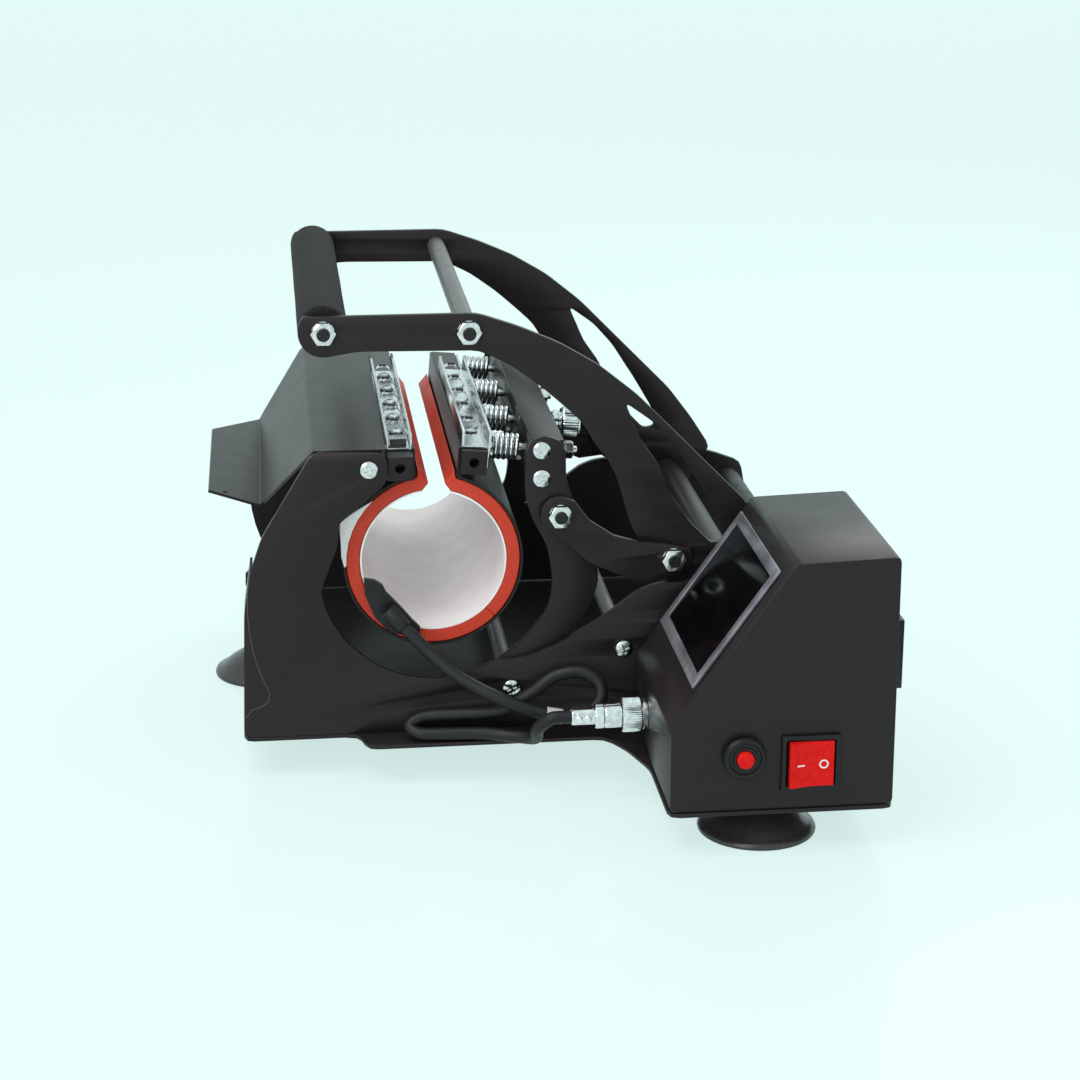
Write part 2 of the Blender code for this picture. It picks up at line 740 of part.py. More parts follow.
def make_fixed_clamp(root):
    """Fixed clamp bar beside the mouth and the bright channel on top of it."""
    half_width, half_height = clamp_bar_width / 2, clamp_bar_height / 2
    half = between_plates / 2
    bar = block("fixed_clamp_bar", (clamp_bar_x - half_width, -half, clamp_bar_z - half_height),
                (clamp_bar_x + half_width, half, clamp_bar_z + half_height), "black_steel", root)
    cut(bar, [bar_end_hole((clamp_bar_x, clamp_bar_z), -half, root)])
    floor = clamp_bar_z + half_height + touch_gap
    outer, inner = half_width, half_width - channel_sheet
    top = floor + channel_wall_height
    outline = [(-outer, floor), (outer, floor), (outer, top), (inner, top), (inner, floor + channel_sheet),
               (-inner, floor + channel_sheet), (-inner, top), (-outer, top)]
    outline = [(clamp_bar_x + x, z) for x, z in outline]
    middle_y = (channel_length - heater_length) / 2
    upright("fixed_clamp_channel", [outline], middle_y, channel_length, "bright_steel", root)


def make_pressing_strip(strip):
    """Sprung clamp bar with its bolts, and its channel with the apron that the springs push."""
    half_width, half_height = clamp_bar_width / 2, clamp_bar_height / 2
    corners = [(-half_width, -half_height), (half_width, -half_height), (half_width, half_height),
               (-half_width, half_height)]
    bar = upright("press_bar", [[strip_place(u, v) for u, v in corners]], 0, press_bar_length,
                  "black_steel", strip)
    added = []
    nut_start = jaw_bar_far + touch_gap
    for y in spring_stations:
        for name, start, end, radius, sides in (
                ("bolt", 0, nut_start + nut_height + stud_reach / 2, spring_bolt_radius, 12),
                ("nut", nut_start, nut_start + nut_height, spring_nut_across_flats / math.sqrt(3), 6)):
            low, high = strip_place(start, spring_axis_rise), strip_place(end, spring_axis_rise)
            added.append(cylinder(name, (low[0], y, low[1]), (high[0], y, high[1]), radius,
                                  "bright_steel", strip, sides))
    bar = fuse(bar, added)
    cut(bar, [bar_end_hole(press_bar_centre, -press_bar_length / 2, strip)])

    floor = half_height + touch_gap
    top = floor + channel_wall_height
    inner = half_width - channel_sheet
    outline = [(-half_width, floor), (apron_inner, floor), (apron_inner, floor - channel_apron),
               (apron_outer, floor - channel_apron), (apron_outer, top), (apron_inner, top),
               (apron_inner, floor + channel_sheet), (-inner, floor + channel_sheet), (-inner, top),
               (-half_width, top)]
    channel = upright("press_channel", [[strip_place(u, v) for u, v in outline]], 0, heater_length,
                      "bright_steel", strip)
    bores = [tilted_bore(y, apron_inner - overrun / 2, apron_outer + overrun, spring_axis_rise,
                         spring_bolt_radius, strip) for y in spring_stations]
    low, high = floor - touch_gap / 2, top + overrun
    left, right = -half_width - overrun, apron_outer + overrun
    rear = [strip_place(u, v) for u, v in ((left, low), (right, low), (right, high), (left, high))]
    missing = heater_length - channel_length + overrun
    bores.append(upright("rear", [rear], (heater_length + overrun - missing) / 2 + overrun / 2, missing,
                         "black_steel", strip))
    cut(channel, bores)


def tilted_bore(y, start, end, rise, radius, parent):
    """Cutter for a bolt's running hole along the pressing strip's slide."""
    low, high = strip_place(start, rise), strip_place(end, rise)
    return cylinder("bore", (low[0], y, low[1]), (high[0], y, high[1]), radius + running_clearance,
                    "black_steel", parent, 12)


def spring_curve(start, end, y, turns):
    """Open coil along the slide, one unbroken wire."""
    count = int(turns * spring_points_per_turn)
    radius = spring_outer_radius - spring_wire_radius
    points = []
    for k in range(count + 1):
        turn = math.tau * turns * k / count
        u = start + (end - start) * k / count
        x, z = strip_place(u, spring_axis_rise + radius * math.cos(turn))
        points.append((x, y + radius * math.sin(turn), z))
    return points


def tube(name, points, radius, bevel, finish, parent, radii=None):
    """Round wire or cord through points."""
    curve = bpy.data.curves.new(name, "CURVE")
    curve.dimensions = "3D"
    curve.bevel_depth = radius
    curve.bevel_resolution = bevel
    curve.use_fill_caps = True
    spline = curve.splines.new("POLY")
    spline.points.add(len(points) - 1)
    for k, place in enumerate(points):
        spline.points[k].co = (*place, 1)
        spline.points[k].radius = radii[k] if radii else 1
    return add(name, curve, finish, parent)


def least_self_gap(points, radius, skip):
    """Least gap of a wound tube to itself, measured on its points."""
    least = math.inf
    for k, first in enumerate(points):
        for second in points[k + skip:]:
            least = min(least, (Vector(first) - Vector(second)).length - 2 * radius)
    return least


def make_springs(jaw):
    """Four compression springs between the pressing strip and the jaw bar."""
    start = spring_start + spring_wire_radius
    end = spring_end - spring_wire_radius
    for number, y in enumerate(spring_stations, 1):
        points = spring_curve(start, end, y, spring_turns)
        tube("press_spring_%d" % number, points, spring_wire_radius, 1, "bright_steel", jaw)
    gap = least_self_gap(points, spring_wire_radius, spring_points_per_turn // 2)
    print("press springs: least gap of the wire to itself, metres:", round(gap, 5))


def jaw_outline():
    """Jaw plate from its pivot boss up to the end of the jaw bar."""
    rise = math.degrees(math.atan2(jaw_bar_centre[1] - jaw_pivot[1], jaw_bar_centre[0] - jaw_pivot[0]))
    corners = along(jaw_pivot, jaw_bar_centre, jaw_left_shares)
    corners += arc(jaw_pivot, jaw_pivot_boss_radius, rise + 75, rise + 285, 12)
    corners += along(jaw_pivot, jaw_bar_centre, jaw_right_shares)
    corners += arc(jaw_link_pivot, jaw_slot_radius + jaw_slot_rim, rise - 140, rise - 40, 6)
    corners += along(jaw_pivot, jaw_bar_centre, jaw_top_shares)
    return rounded(corners, shaft_radius)


def make_jaw(jaw):
    """Two jaw plates, the bar between them, and the pressure knob on the bar."""
    outlines = [jaw_outline(), hole(jaw_pivot, shaft_radius + running_clearance),
                hole(jaw_link_pivot, jaw_slot_radius, 16)]
    for name, side in (("front_jaw", -1), ("rear_jaw", 1)):
        upright(name, outlines, side * arm_middle_y, jaw_thickness, "black_steel", jaw)
    half_height = jaw_bar_height / 2
    low, high = jaw_bar_drop - half_height, jaw_bar_drop + half_height
    corners = [(jaw_bar_near, low), (jaw_bar_far, low), (jaw_bar_far, high), (jaw_bar_near, high)]
    bar = upright("jaw_bar", [[strip_place(u, v) for u, v in corners]], 0, between_arms,
                  "black_steel", jaw)
    near, far = jaw_bar_near - overrun, jaw_bar_far + overrun
    bores = [tilted_bore(y, near, far, spring_axis_rise, spring_bolt_radius, jaw) for y in spring_stations]
    bores.append(tilted_bore(knob_station, near, far, knob_rise, knob_stud_radius, jaw))
    cut(bar, bores)


def make_knob(knob):
    """Knurled pressure knob with its stud, which turns in the jaw bar."""
    knob_start = jaw_bar_far + knob_stand_off
    pieces = []
    for start, end, radius in ((jaw_bar_near, knob_start + overrun, knob_stud_radius),
                               (knob_start, knob_start + knob_length, knob_radius),
                               (jaw_bar_far + touch_gap, knob_start + overrun, knob_neck_radius)):
        low, high = strip_place(start, knob_rise), strip_place(end, knob_rise)
        pieces.append(cylinder("pressure_knob", (low[0], knob_station, low[1]),
                               (high[0], knob_station, high[1]), radius, "bright_steel", knob))
    pieces[0].name = "knob_stud"
    pieces[1].name = "pressure_knob"
    fuse(pieces[1], [pieces[0], pieces[2]])


def arm_outline():
    """Lever arm from the grip's boss, over the top, to the hub and the heel that meets the stop."""
    heel_reach = (Vector(stop_centre) - Vector(fulcrum)).length - stop_sleeve_radius - touch_gap
    corners = arc(grip_centre, grip_radius, 140, 275, 8)
    corners += along(fulcrum, grip_centre, arm_under_shares)
    corners += arc(link_pivot, link_pivot_boss_radius, 165, 245, 5)
    corners += arc(fulcrum, arm_hub_radius, 215, 345, 8)
    corners.append(polar(fulcrum, heel_reach, heel_angle_deg))
    corners += along(fulcrum, grip_centre, arm_top_shares)
    return rounded(corners, grip_radius / 3)


def make_lever(lever):
    """Two lever arms, the foam grip on its rod, the cross rod and the fulcrum tube."""
    outlines = [arm_outline(), rounded(along(fulcrum, grip_centre, arm_window_shares), stud_radius),
                hole(fulcrum, fulcrum_radius + running_clearance)]
    for place in (grip_centre, cross_rod, link_pivot):
        outlines.append(hole(place, stud_radius + running_clearance))
    for name, side in (("front_arm", -1), ("rear_arm", 1)):
        upright(name, outlines, side * arm_middle_y, arm_thickness, "black_steel", lever)
    seat = arm_outer_y + touch_gap
    half = between_arms / 2
    bolted_bar("handle_rod", grip_centre, half, shaft_radius, seat, "bright_steel", lever, stud_radius)
    bolted_bar("cross_rod", cross_rod, half, cross_rod_radius, seat, "black_steel", lever, stud_radius)
    length = half - touch_gap
    sleeve(("handle_grip", "black_foam"), grip_centre, grip_radius, shaft_radius, length, lever)
    sleeve(("fulcrum_tube", "black_steel"), fulcrum, fulcrum_tube_radius, fulcrum_radius, length, lever)


def sleeve(label, place, outer, core, half_length, parent):
    """Tube along Y round a bar, with running clearance."""
    name, finish = label
    outlines = [hole(place, outer, turned_sides), hole(place, core + running_clearance, turned_sides)]
    return upright(name, outlines, 0, 2 * half_length, finish, parent)


def link_outline():
    """Waisted link between the lever's pivot and the jaw's pivot."""
    run = Vector(jaw_link_pivot) - Vector(link_pivot)
    rise = math.degrees(math.atan2(run.y, run.x))
    corners = along(link_pivot, jaw_link_pivot, link_top_shares)
    corners += arc(link_pivot, link_end_radius, rise - 125, rise - 235, 8)
    corners += along(link_pivot, jaw_link_pivot, link_under_shares)
    corners += arc(jaw_link_pivot, link_end_radius, rise + 85, rise - 75, 8)
    return corners


def make_links(links):
    """Two links with a bolt at each end: the jaw bolts run in oversize slots in the jaws."""
    outlines = [link_outline(), hole(link_pivot, stud_radius + running_clearance),
                hole(jaw_link_pivot, stud_radius + running_clearance)]
    head = plate_inner_y + link_thickness + touch_gap
    middle = plate_inner_y + link_thickness / 2
    inner = arm_inner_y + touch_gap
    for word, side in (("front", -1), ("rear", 1)):
        upright(word + "_link", outlines, side * middle, link_thickness, "black_steel", links)
        for kind, place in (("_lever_bolt", link_pivot), ("_jaw_bolt", jaw_link_pivot)):
            reach = head + nut_height + stud_reach / 5
            start, end = (place[0], side * inner, place[1]), (place[0], side * reach, place[1])
            bolt = cylinder(word + kind, start, end, stud_radius, "bright_steel", links)
            fuse(bolt, [hex_nut(place, side * head, side * nut_height, nut_across_flats, links)])


def box_place(shares):
    """Place in the control box's section."""
    return (box_left + shares[0] * box_width, box_bottom + shares[1] * box_height)


# Frame of the slanted panel, and the places on the box's walls
slant_low = Vector(box_place(slant_low_shares))
slant_high = Vector(box_place(slant_high_shares))
slant_along = (slant_high - slant_low).normalized()
slant_angle = math.atan2(slant_along.y, slant_along.x)
screen_middle = slant_low + slant_along * (screen_start + screen_height / 2)
screen_y = box_back_y - screen_back_margin - screen_width / 2
rocker_place = box_place(rocker_shares)
breaker_place = box_place(breaker_shares)
socket_place = (box_back_y - box_depth * socket_shares[0], box_bottom + box_height * socket_shares[1])
inlet_y = box_front_y + box_depth * inlet_shares[0]
inlet_z = box_bottom + box_height * inlet_shares[1]


def slanted(name, outlines, height, thickness, finish, root):
    """Plate parallel to the slanted panel, its middle plane at a height above it."""
    obj = add(name, outline_curve(name, outlines, thickness), finish, root)
    lift = Vector((-slant_along.y, slant_along.x)) * height
    obj.location = (screen_middle.x + lift.x, screen_y, screen_middle.y + lift.y)
    obj.rotation_euler = (0, -slant_angle, 0)
    return obj


def rectangle(width, height):
    """Rectangle outline round its own middle."""
    x, y = width / 2, height / 2
    return [(-x, -y), (x, -y), (x, y), (-x, y)]


def make_box(root):
    """Folded steel box with its openings, its bottom lid and its spacers to the side plate."""
    section = rounded([box_place(s) for s in box_section_shares], box_corner_radius)
    middle_y = (box_back_y + box_front_y) / 2
    shell = upright("box_shell", [section], middle_y, box_depth, "black_steel", root)
    floor = box_bottom + box_wall + box_corner_radius
    open_below = [(x, z if z > floor else box_bottom - overrun) for x, z in offset(section, box_wall)]
    cutters = [upright("inside", [open_below], middle_y, box_depth - 2 * box_wall, "black_steel", root)]
    window = rectangle(screen_height - screen_frame, screen_width - screen_frame)
    cutters.append(slanted("window", [window], 0, 4 * box_wall + overrun, "black_steel", root))
    half = rocker_body / 2 + touch_gap
    x, z = rocker_place
    cutters.append(block("rocker_hole", (x - half, box_front_y - overrun, z - half),
                         (x + half, box_front_y + box_wall + overrun, z + half), "black_steel", root))
    cutters.append(front_bore(breaker_place, breaker_barrel_radius, root))
    cutters.append(cylinder("socket_hole", (box_left - overrun, *socket_place),
                            (box_left + box_wall + overrun, *socket_place),
                            socket_stub_radius + touch_gap, "black_steel", root))
    right = box_left + box_width
    half_y = inlet_width / 2 - inlet_wall / 2 + touch_gap
    half_z = inlet_height / 2 - inlet_wall / 2 + touch_gap
    cutters.append(block("inlet_hole", (right - 2 * box_wall - overrun, inlet_y - half_y, inlet_z - half_z),
                         (right + overrun, inlet_y + half_y, inlet_z + half_z), "black_steel", root))
    shell = cut(shell, cutters)
    spacers = []
    low_z = plate_place((0, lower_spacer_share))[1]
    for x, z in ((fulcrum[0] + arm_hub_radius, inlet_z), (breaker_place[0], low_z)):
        start, end = (x, box_back_y - box_wall / 2, z), (x, -plate_outer_y - touch_gap, z)
        spacers.append(cylinder("spacer", start, end, stud_radius + box_wall, "black_steel", root, 12))
    fuse(shell, spacers)
    margin = box_wall + touch_gap
    block("box_lid", (box_left + margin, box_front_y + margin, box_bottom),
          (right - margin, box_back_y - margin, box_bottom + box_lid_thickness), "black_steel", root)


def front_bore(place, radius, root):
    """Round hole through the front wall."""
    return cylinder("front_hole", (place[0], box_front_y - overrun, place[1]),
                    (place[0], box_front_y + box_wall + overrun, place[1]), radius + touch_gap,
                    "black_steel", root)


def make_screen(root):
    """Bright screen frame, dark glass and the control board behind them."""
    outer = rectangle(screen_height, screen_width)
    opening = rectangle(screen_height - 2 * screen_frame, screen_width - 2 * screen_frame)
    height = touch_gap + screen_frame_proud / 2
    slanted("screen_frame", [outer, opening], height, screen_frame_proud, "bright_steel", root)
    inner = 2 * (screen_frame + touch_gap)
    pane = rectangle(screen_height - inner, screen_width - inner)
    top = touch_gap + screen_frame_proud - glass_recess
    slanted("screen_glass", [pane], top - glass_thickness / 2, glass_thickness, "glass", root)
    board = rectangle(screen_height - screen_frame, screen_width - screen_frame)
    posts = []
    made = slanted("control_board", [board], top - glass_thickness - board_stand_off, board_thickness,
                   "board_green", root)
    gap = board_stand_off - touch_gap
    for side in (-1, 1):
        post = rectangle(screen_height / 2, screen_frame)
        post = [(x, y + side * screen_width / 3) for x, y in post]
        posts.append(slanted("post", [post], top - glass_thickness - touch_gap - gap / 2, gap,
                             "board_green", root))
    fuse(made, posts)


def make_rocker(root, rocker):
    """Power rocker in its bezel and body, the left half standing out."""
    x, z = rocker_place
    half_bezel, half_body = rocker_bezel / 2, rocker_body / 2
    front = box_front_y - touch_gap - rocker_bezel_proud
    frame = block("rocker_frame", (x - half_bezel, front, z - half_bezel),
                  (x + half_bezel, box_front_y - touch_gap, z + half_bezel), "black_plastic", root)
    body = block("body", (x - half_body, front + touch_gap, z - half_body),
                 (x + half_body, front + rocker_body_depth, z + half_body), "black_plastic", root)
    fuse(frame, [body])
    half_well = half_body - touch_gap * 3
    half_high = rocker_height / 2 + touch_gap
    well = block("well", (x - half_well, front - overrun, z - half_high),
                 (x + half_well, front + rocker_body_depth - rocker_bezel_proud, z + half_high),
                 "black_plastic", root)
    cut(frame, [well])
    rise = math.tan(math.radians(rocker_face_deg)) * rocker_half_width
    outline = [(x + rocker_half_width, front - rocker_base_proud), (x, front - rocker_base_proud),
               (x - rocker_half_width, front - rocker_base_proud - rise)]
    outline += arc((x, front), rocker_half_width, 170, 10, 8)
    flat("rocker", [outline], z, rocker_height, "red_plastic", rocker)


def make_breaker(root, button):
    """Round circuit breaker with its reset button."""
    x, z = breaker_place
    front = box_front_y - touch_gap - breaker_collar_proud
    collar = cylinder("breaker_body", (x, front, z), (x, box_front_y - touch_gap, z), breaker_collar_radius,
                      "black_plastic", root)
    fuse(collar, [cylinder("barrel", (x, front + touch_gap, z), (x, box_front_y + breaker_barrel_depth, z),
                           breaker_barrel_radius, "black_plastic", root)])
    deep = front + button_stem_depth + button_travel + touch_gap
    cut(collar, [cylinder("bore", (x, front - overrun, z), (x, deep, z), button_radius + running_clearance,
                          "black_plastic", root)])
    cylinder("reset_button", (x, front - button_proud, z), (x, front + button_stem_depth, z), button_radius,
             "red_plastic", button)


def make_inlet(root):
    """Power inlet on the right wall, open towards the side."""
    right = box_left + box_width
    half_y, half_z = inlet_width / 2, inlet_height / 2
    body = block("power_inlet", (right + touch_gap, inlet_y - half_y, inlet_z - half_z),
                 (right + inlet_proud, inlet_y + half_y, inlet_z + half_z), "black_plastic", root)
    inner_y, inner_z = half_y - inlet_wall / 2, half_z - inlet_wall / 2
    fuse(body, [block("tail", (right - inlet_depth, inlet_y - inner_y, inlet_z - inner_z),
                      (right + inlet_proud / 2, inlet_y + inner_y, inlet_z + inner_z),
                      "black_plastic", root)])
    pocket_y, pocket_z = half_y - inlet_wall, half_z - inlet_wall
    cut(body, [block("pocket", (right + inlet_proud - inlet_pocket_depth, inlet_y - pocket_y,
                                inlet_z - pocket_z),
                     (right + inlet_proud + overrun, inlet_y + pocket_y, inlet_z + pocket_z),
                     "black_plastic", root)])


def along_x(name, start, end, radius, finish, parent):
    """Round bar along X on the socket's axis."""
    return cylinder(name, (start, *socket_place), (end, *socket_place), radius, finish, parent)


def make_plug(root, ring):
    """Panel socket on the left wall and the round plug screwed to it."""
    face = box_left - touch_gap
    flange = along_x("panel_socket", face - socket_flange_thickness, face, socket_flange_radius,
                     "bright_steel", root)
    stub_end = face - socket_stub_length - socket_flange_thickness
    fuse(flange, [along_x("stub", stub_end, box_left + socket_inner_depth, socket_stub_radius,
                          "bright_steel", root)])
    nose_start = stub_end - touch_gap
    ring_start = face - socket_flange_thickness - touch_gap
    ring_end = ring_start - plug_ring_length
    collar = along_x("plug_ring", ring_end, ring_start, plug_ring_radius, "bright_steel", ring)
    cut(collar, [along_x("bore", ring_end - overrun, ring_start + overrun,
                         socket_stub_radius + running_clearance, "bright_steel", ring)])
    body_end = ring_end - touch_gap - plug_body_length
    body = along_x("plug_body", body_end, ring_end - touch_gap, plug_body_radius, "bright_steel", root)
    nose = along_x("nose", ring_end - 2 * touch_gap, nose_start, socket_stub_radius, "bright_steel", root)
    clamp = along_x("clamp", body_end - plug_clamp_length, body_end + touch_gap, plug_clamp_radius,
                    "bright_steel", root)
    fuse(body, [nose, clamp])
    return body_end - plug_clamp_length


# The heater lead's own route, chosen by hand: from the boot over the frame, round, and to the plug
lead_route = [(-0.0240, -0.1372, 0.0985), (-0.0180, -0.1402, 0.0925), (-0.0030, -0.1465, 0.0780),
              (0.0140, -0.1550, 0.0650), (0.0380, -0.1640, 0.0540), (0.0600, -0.1670, 0.0455),
              (0.0800, -0.1680, 0.0425), (0.0960, -0.1660, 0.0480), (0.0990, -0.1610, 0.0590),
              (0.0880, -0.1560, 0.0665), (0.0720, -0.1540, 0.0640), (0.0570, -0.1560, 0.0540),
              (0.0400, -0.1560, 0.0440), (0.0180, -0.1530, 0.0410), (0.0000, -0.1510, 0.0400),
              (-0.0110, -0.1500, 0.0385), (-0.0180, -0.1530, 0.0345), (-0.0120, -0.1585, 0.0315),
              (0.0060, -0.1600, 0.0312), (0.0280, -0.1620, 0.0312), (0.0480, -0.1700, 0.0312),
              (0.0570, -0.1800, 0.0345), (0.0570, -0.1895, 0.0440), (0.0640, -0.1945, 0.0520)]
boot_start = (-0.0360, -0.1312, 0.1105)


def smooth(points, steps):
    """Points read evenly from a smooth curve through a hand-chosen route."""
    places = [Vector(p) for p in points]
    dense = []
    fine = steps
    for k in range(len(places) - 1):
        before, start = places[max(k - 1, 0)], places[k]
        end, after = places[k + 1], places[min(k + 2, len(places) - 1)]
        for step in range(fine):
            t = step / fine
            dense.append(0.5 * (2 * start + (end - before) * t
                                + (2 * before - 5 * start + 4 * end - after) * t ** 2
                                + (3 * start - before - 3 * end + after) * t ** 3))
    dense.append(places[-1])
    lengths = [0.0]
    for first, second in zip(dense, dense[1:]):
        lengths.append(lengths[-1] + (second - first).length)
    picked, spot = [], 0
    for k in range(steps + 1):
        target = lengths[-1] * k / steps
        while spot < len(lengths) - 2 and lengths[spot + 1] < target:
            spot += 1
        share = (target - lengths[spot]) / (lengths[spot + 1] - lengths[spot])
        picked.append(tuple(dense[spot].lerp(dense[spot + 1], share)))
    return picked


def make_lead(root, plug_end):
    """Strain relief boot at the ring and the heater lead from it to the plug."""
    joint = Vector(lead_route[0])
    heading = (Vector(lead_route[1]) - joint).normalized()
    boot_steps = 8
    run_out = [tuple(joint - heading * reach) for reach in (2 * boot_radius, boot_radius, touch_gap)]
    boot = smooth([boot_start] + run_out, boot_steps)
    slim = [1 - (1 - lead_radius / boot_radius) * k / boot_steps for k in range(boot_steps + 1)]
    tube("lead_boot", boot, boot_radius, 2, "black_rubber", root, slim)
    end_y, end_z = socket_place
    run_in = [(plug_end - 2 * lead_radius, end_y, end_z), (plug_end - touch_gap, end_y, end_z)]
    tube("heater_lead", smooth(lead_route + run_in, lead_steps), lead_radius, 2, "black_rubber", root)


def measure(names):
    """World bounding box of the named objects as the viewport evaluates them."""
    bpy.context.view_layer.update()
    graph = bpy.context.evaluated_depsgraph_get()
    low, high = Vector((math.inf,) * 3), Vector((-math.inf,) * 3)
    for name in names:
        seen = bpy.data.objects[name].evaluated_get(graph)
        mesh = seen.to_mesh()
        for vert in mesh.vertices:
            place = seen.matrix_world @ vert.co
            low = Vector(map(min, low, place))
            high = Vector(map(max, high, place))
        seen.to_mesh_clear()
    return low, high


def main():
    """Build the press and stand it on its own origin."""
    clear_scene()
    make_materials()
    press = pivot("press", (0, 0))
    lever = pivot("lever_pivot", fulcrum)
    links = pivot("link_pivot", link_pivot)
    jaw = pivot("jaw_pivot", jaw_pivot)
    strip = pivot("strip_slide", press_bar_centre)
    knob = pivot("knob_pivot", strip_place(jaw_bar_far, knob_rise), knob_station)
    rocker = pivot("rocker_pivot", (rocker_place[0], rocker_place[1]), box_front_y - touch_gap
                   - rocker_bezel_proud)
    button = pivot("button_slide", breaker_place, box_front_y)
    ring = pivot("plug_ring_pivot", (box_left, socket_place[1]), socket_place[0])
    pivots = [lever, links, jaw, strip, knob, rocker, button, ring]
    bpy.context.view_layer.update()

    make_frame(press)
    make_heater(press, strip)
    make_fixed_clamp(press)
    make_pressing_strip(strip)
    make_springs(jaw)
    make_jaw(jaw)
    make_knob(knob)
    make_lever(lever)
    make_links(links)
    make_box(press)
    make_screen(press)
    make_rocker(press, rocker)
    make_breaker(press, button)
    make_inlet(press)
    plug_end = make_plug(press, ring)
    make_lead(press, plug_end)

    cord = ("lead_boot", "heater_lead", "plug_body", "plug_ring")
    names = [o.name for o in parts.objects if o.type != "EMPTY" and o.name not in cord]
    low, high = measure(names)
    shift = Vector((-(low.x + high.x) / 2, -(low.y + high.y) / 2, -low.z))
    for empty in pivots:
        empty.location += shift
    press.location = shift
    bpy.context.view_layer.update()
    print("origin moved by, metres:", [round(v, 6) for v in shift])
    for empty in pivots:
        print(empty.name, [round(v, 6) for v in empty.matrix_world.translation])
    for name in names + list(cord):
        assert name in bpy.data.objects, name
    print("nodes:", len(names) + len(cord))


main()
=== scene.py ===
"""Looks of the tumbler heat press."""
from math import acos, cos, degrees, radians, sin, sqrt, tan, tau

import bmesh
import bpy
from mathutils import Matrix, Vector


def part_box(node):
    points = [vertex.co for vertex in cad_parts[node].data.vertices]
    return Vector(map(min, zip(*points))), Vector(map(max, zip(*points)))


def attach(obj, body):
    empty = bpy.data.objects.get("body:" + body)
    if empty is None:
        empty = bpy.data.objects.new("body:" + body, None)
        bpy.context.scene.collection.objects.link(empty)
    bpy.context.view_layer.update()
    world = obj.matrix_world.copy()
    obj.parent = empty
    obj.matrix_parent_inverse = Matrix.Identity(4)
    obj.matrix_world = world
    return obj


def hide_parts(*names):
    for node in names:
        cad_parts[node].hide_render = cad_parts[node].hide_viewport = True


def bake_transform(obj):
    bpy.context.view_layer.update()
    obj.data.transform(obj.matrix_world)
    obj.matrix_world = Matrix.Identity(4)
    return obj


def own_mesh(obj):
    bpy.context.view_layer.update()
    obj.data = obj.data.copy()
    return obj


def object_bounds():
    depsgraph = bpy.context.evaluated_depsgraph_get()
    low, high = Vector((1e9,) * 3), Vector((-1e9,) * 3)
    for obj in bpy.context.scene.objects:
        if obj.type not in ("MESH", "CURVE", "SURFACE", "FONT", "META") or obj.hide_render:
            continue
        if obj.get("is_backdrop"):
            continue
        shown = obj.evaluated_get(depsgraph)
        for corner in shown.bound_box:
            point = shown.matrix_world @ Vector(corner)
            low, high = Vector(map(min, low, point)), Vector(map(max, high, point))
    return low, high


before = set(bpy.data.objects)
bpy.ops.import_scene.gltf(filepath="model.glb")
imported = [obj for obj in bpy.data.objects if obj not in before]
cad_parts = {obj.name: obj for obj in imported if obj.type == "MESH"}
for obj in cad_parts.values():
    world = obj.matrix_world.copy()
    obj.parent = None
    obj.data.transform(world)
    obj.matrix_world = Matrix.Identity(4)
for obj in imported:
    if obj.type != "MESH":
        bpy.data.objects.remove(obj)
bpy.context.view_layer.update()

# The view. A long lens stands a metre and a half in front of the press, a little to its left and
# above it, and every place below is given in millimetres from the ring heater's own middle.
ring_left, ring_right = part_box("heater_pad_left"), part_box("heater_pad_right")
ring_x = (ring_left[1].x + ring_right[0].x) / 2
ring_y = (ring_left[0].y + ring_left[1].y) / 2


def at(x, y, z):
    """Place in metres, from millimetres along the lever, along the heater and up."""
    return Vector((ring_x + x / 1000, ring_y + y / 1000, z / 1000))


lens_mm, film_mm = 80.3, 36
camera_place = (-93.3, -1527, 595.7)
look_down_deg, look_right_deg = 17.807, 6.474
camera_data = bpy.data.cameras.new("camera")
camera_data.lens, camera_data.sensor_width = lens_mm, film_mm


def added(name, data):
    """New object in the scene that holds some data."""
    obj = bpy.data.objects.new(name, data)
    bpy.context.scene.collection.objects.link(obj)
    return obj


camera = added("camera", camera_data)
camera.location = at(*camera_place)
camera.rotation_euler = (radians(90 - look_down_deg), 0, -radians(look_right_deg))
bpy.context.scene.camera = camera
bpy.context.scene.view_settings.view_transform = "Standard"

# The heater lead. A round cable in a black sleeve leaves a moulded boot at the bottom left of the
# ring, loops in front of the frame and ends in the metal plug screwed to the control box.
lead_route = [(-24, -137.2, 98.5), (-18, -140.2, 92.5), (-3, -146.5, 78), (14, -155, 65),
              (38, -164, 54), (60, -167, 45.5), (80, -168, 42.5), (96, -166, 48), (99, -161, 59),
              (88, -156, 66.5), (72, -154, 64), (57, -156, 54), (40, -156, 44), (18, -153, 41),
              (0, -151, 40), (-11, -150, 38.5), (-18, -153, 34.5), (-12, -158.5, 31.5),
              (6, -160, 31.2), (28, -162, 31.2), (48, -170, 31.2), (57, -180, 34.5),
              (57, -189.5, 44), (64, -194.5, 52)]
plug_low, plug_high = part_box("plug_body")
plug_y, plug_z = (plug_low.y + plug_high.y) / 2, (plug_low.z + plug_high.z) / 2
lead_diameter = 0.008
lead_steps = 200
plug_face_gap = 0.0003
route_places = [at(*place) for place in lead_route]
route_places += [Vector((plug_low.x - lead_diameter, plug_y, plug_z)),
                 Vector((plug_low.x - plug_face_gap, plug_y, plug_z))]
rubber_dark, rubber_light = (0.006, 0.006, 0.007), (0.014, 0.014, 0.015)


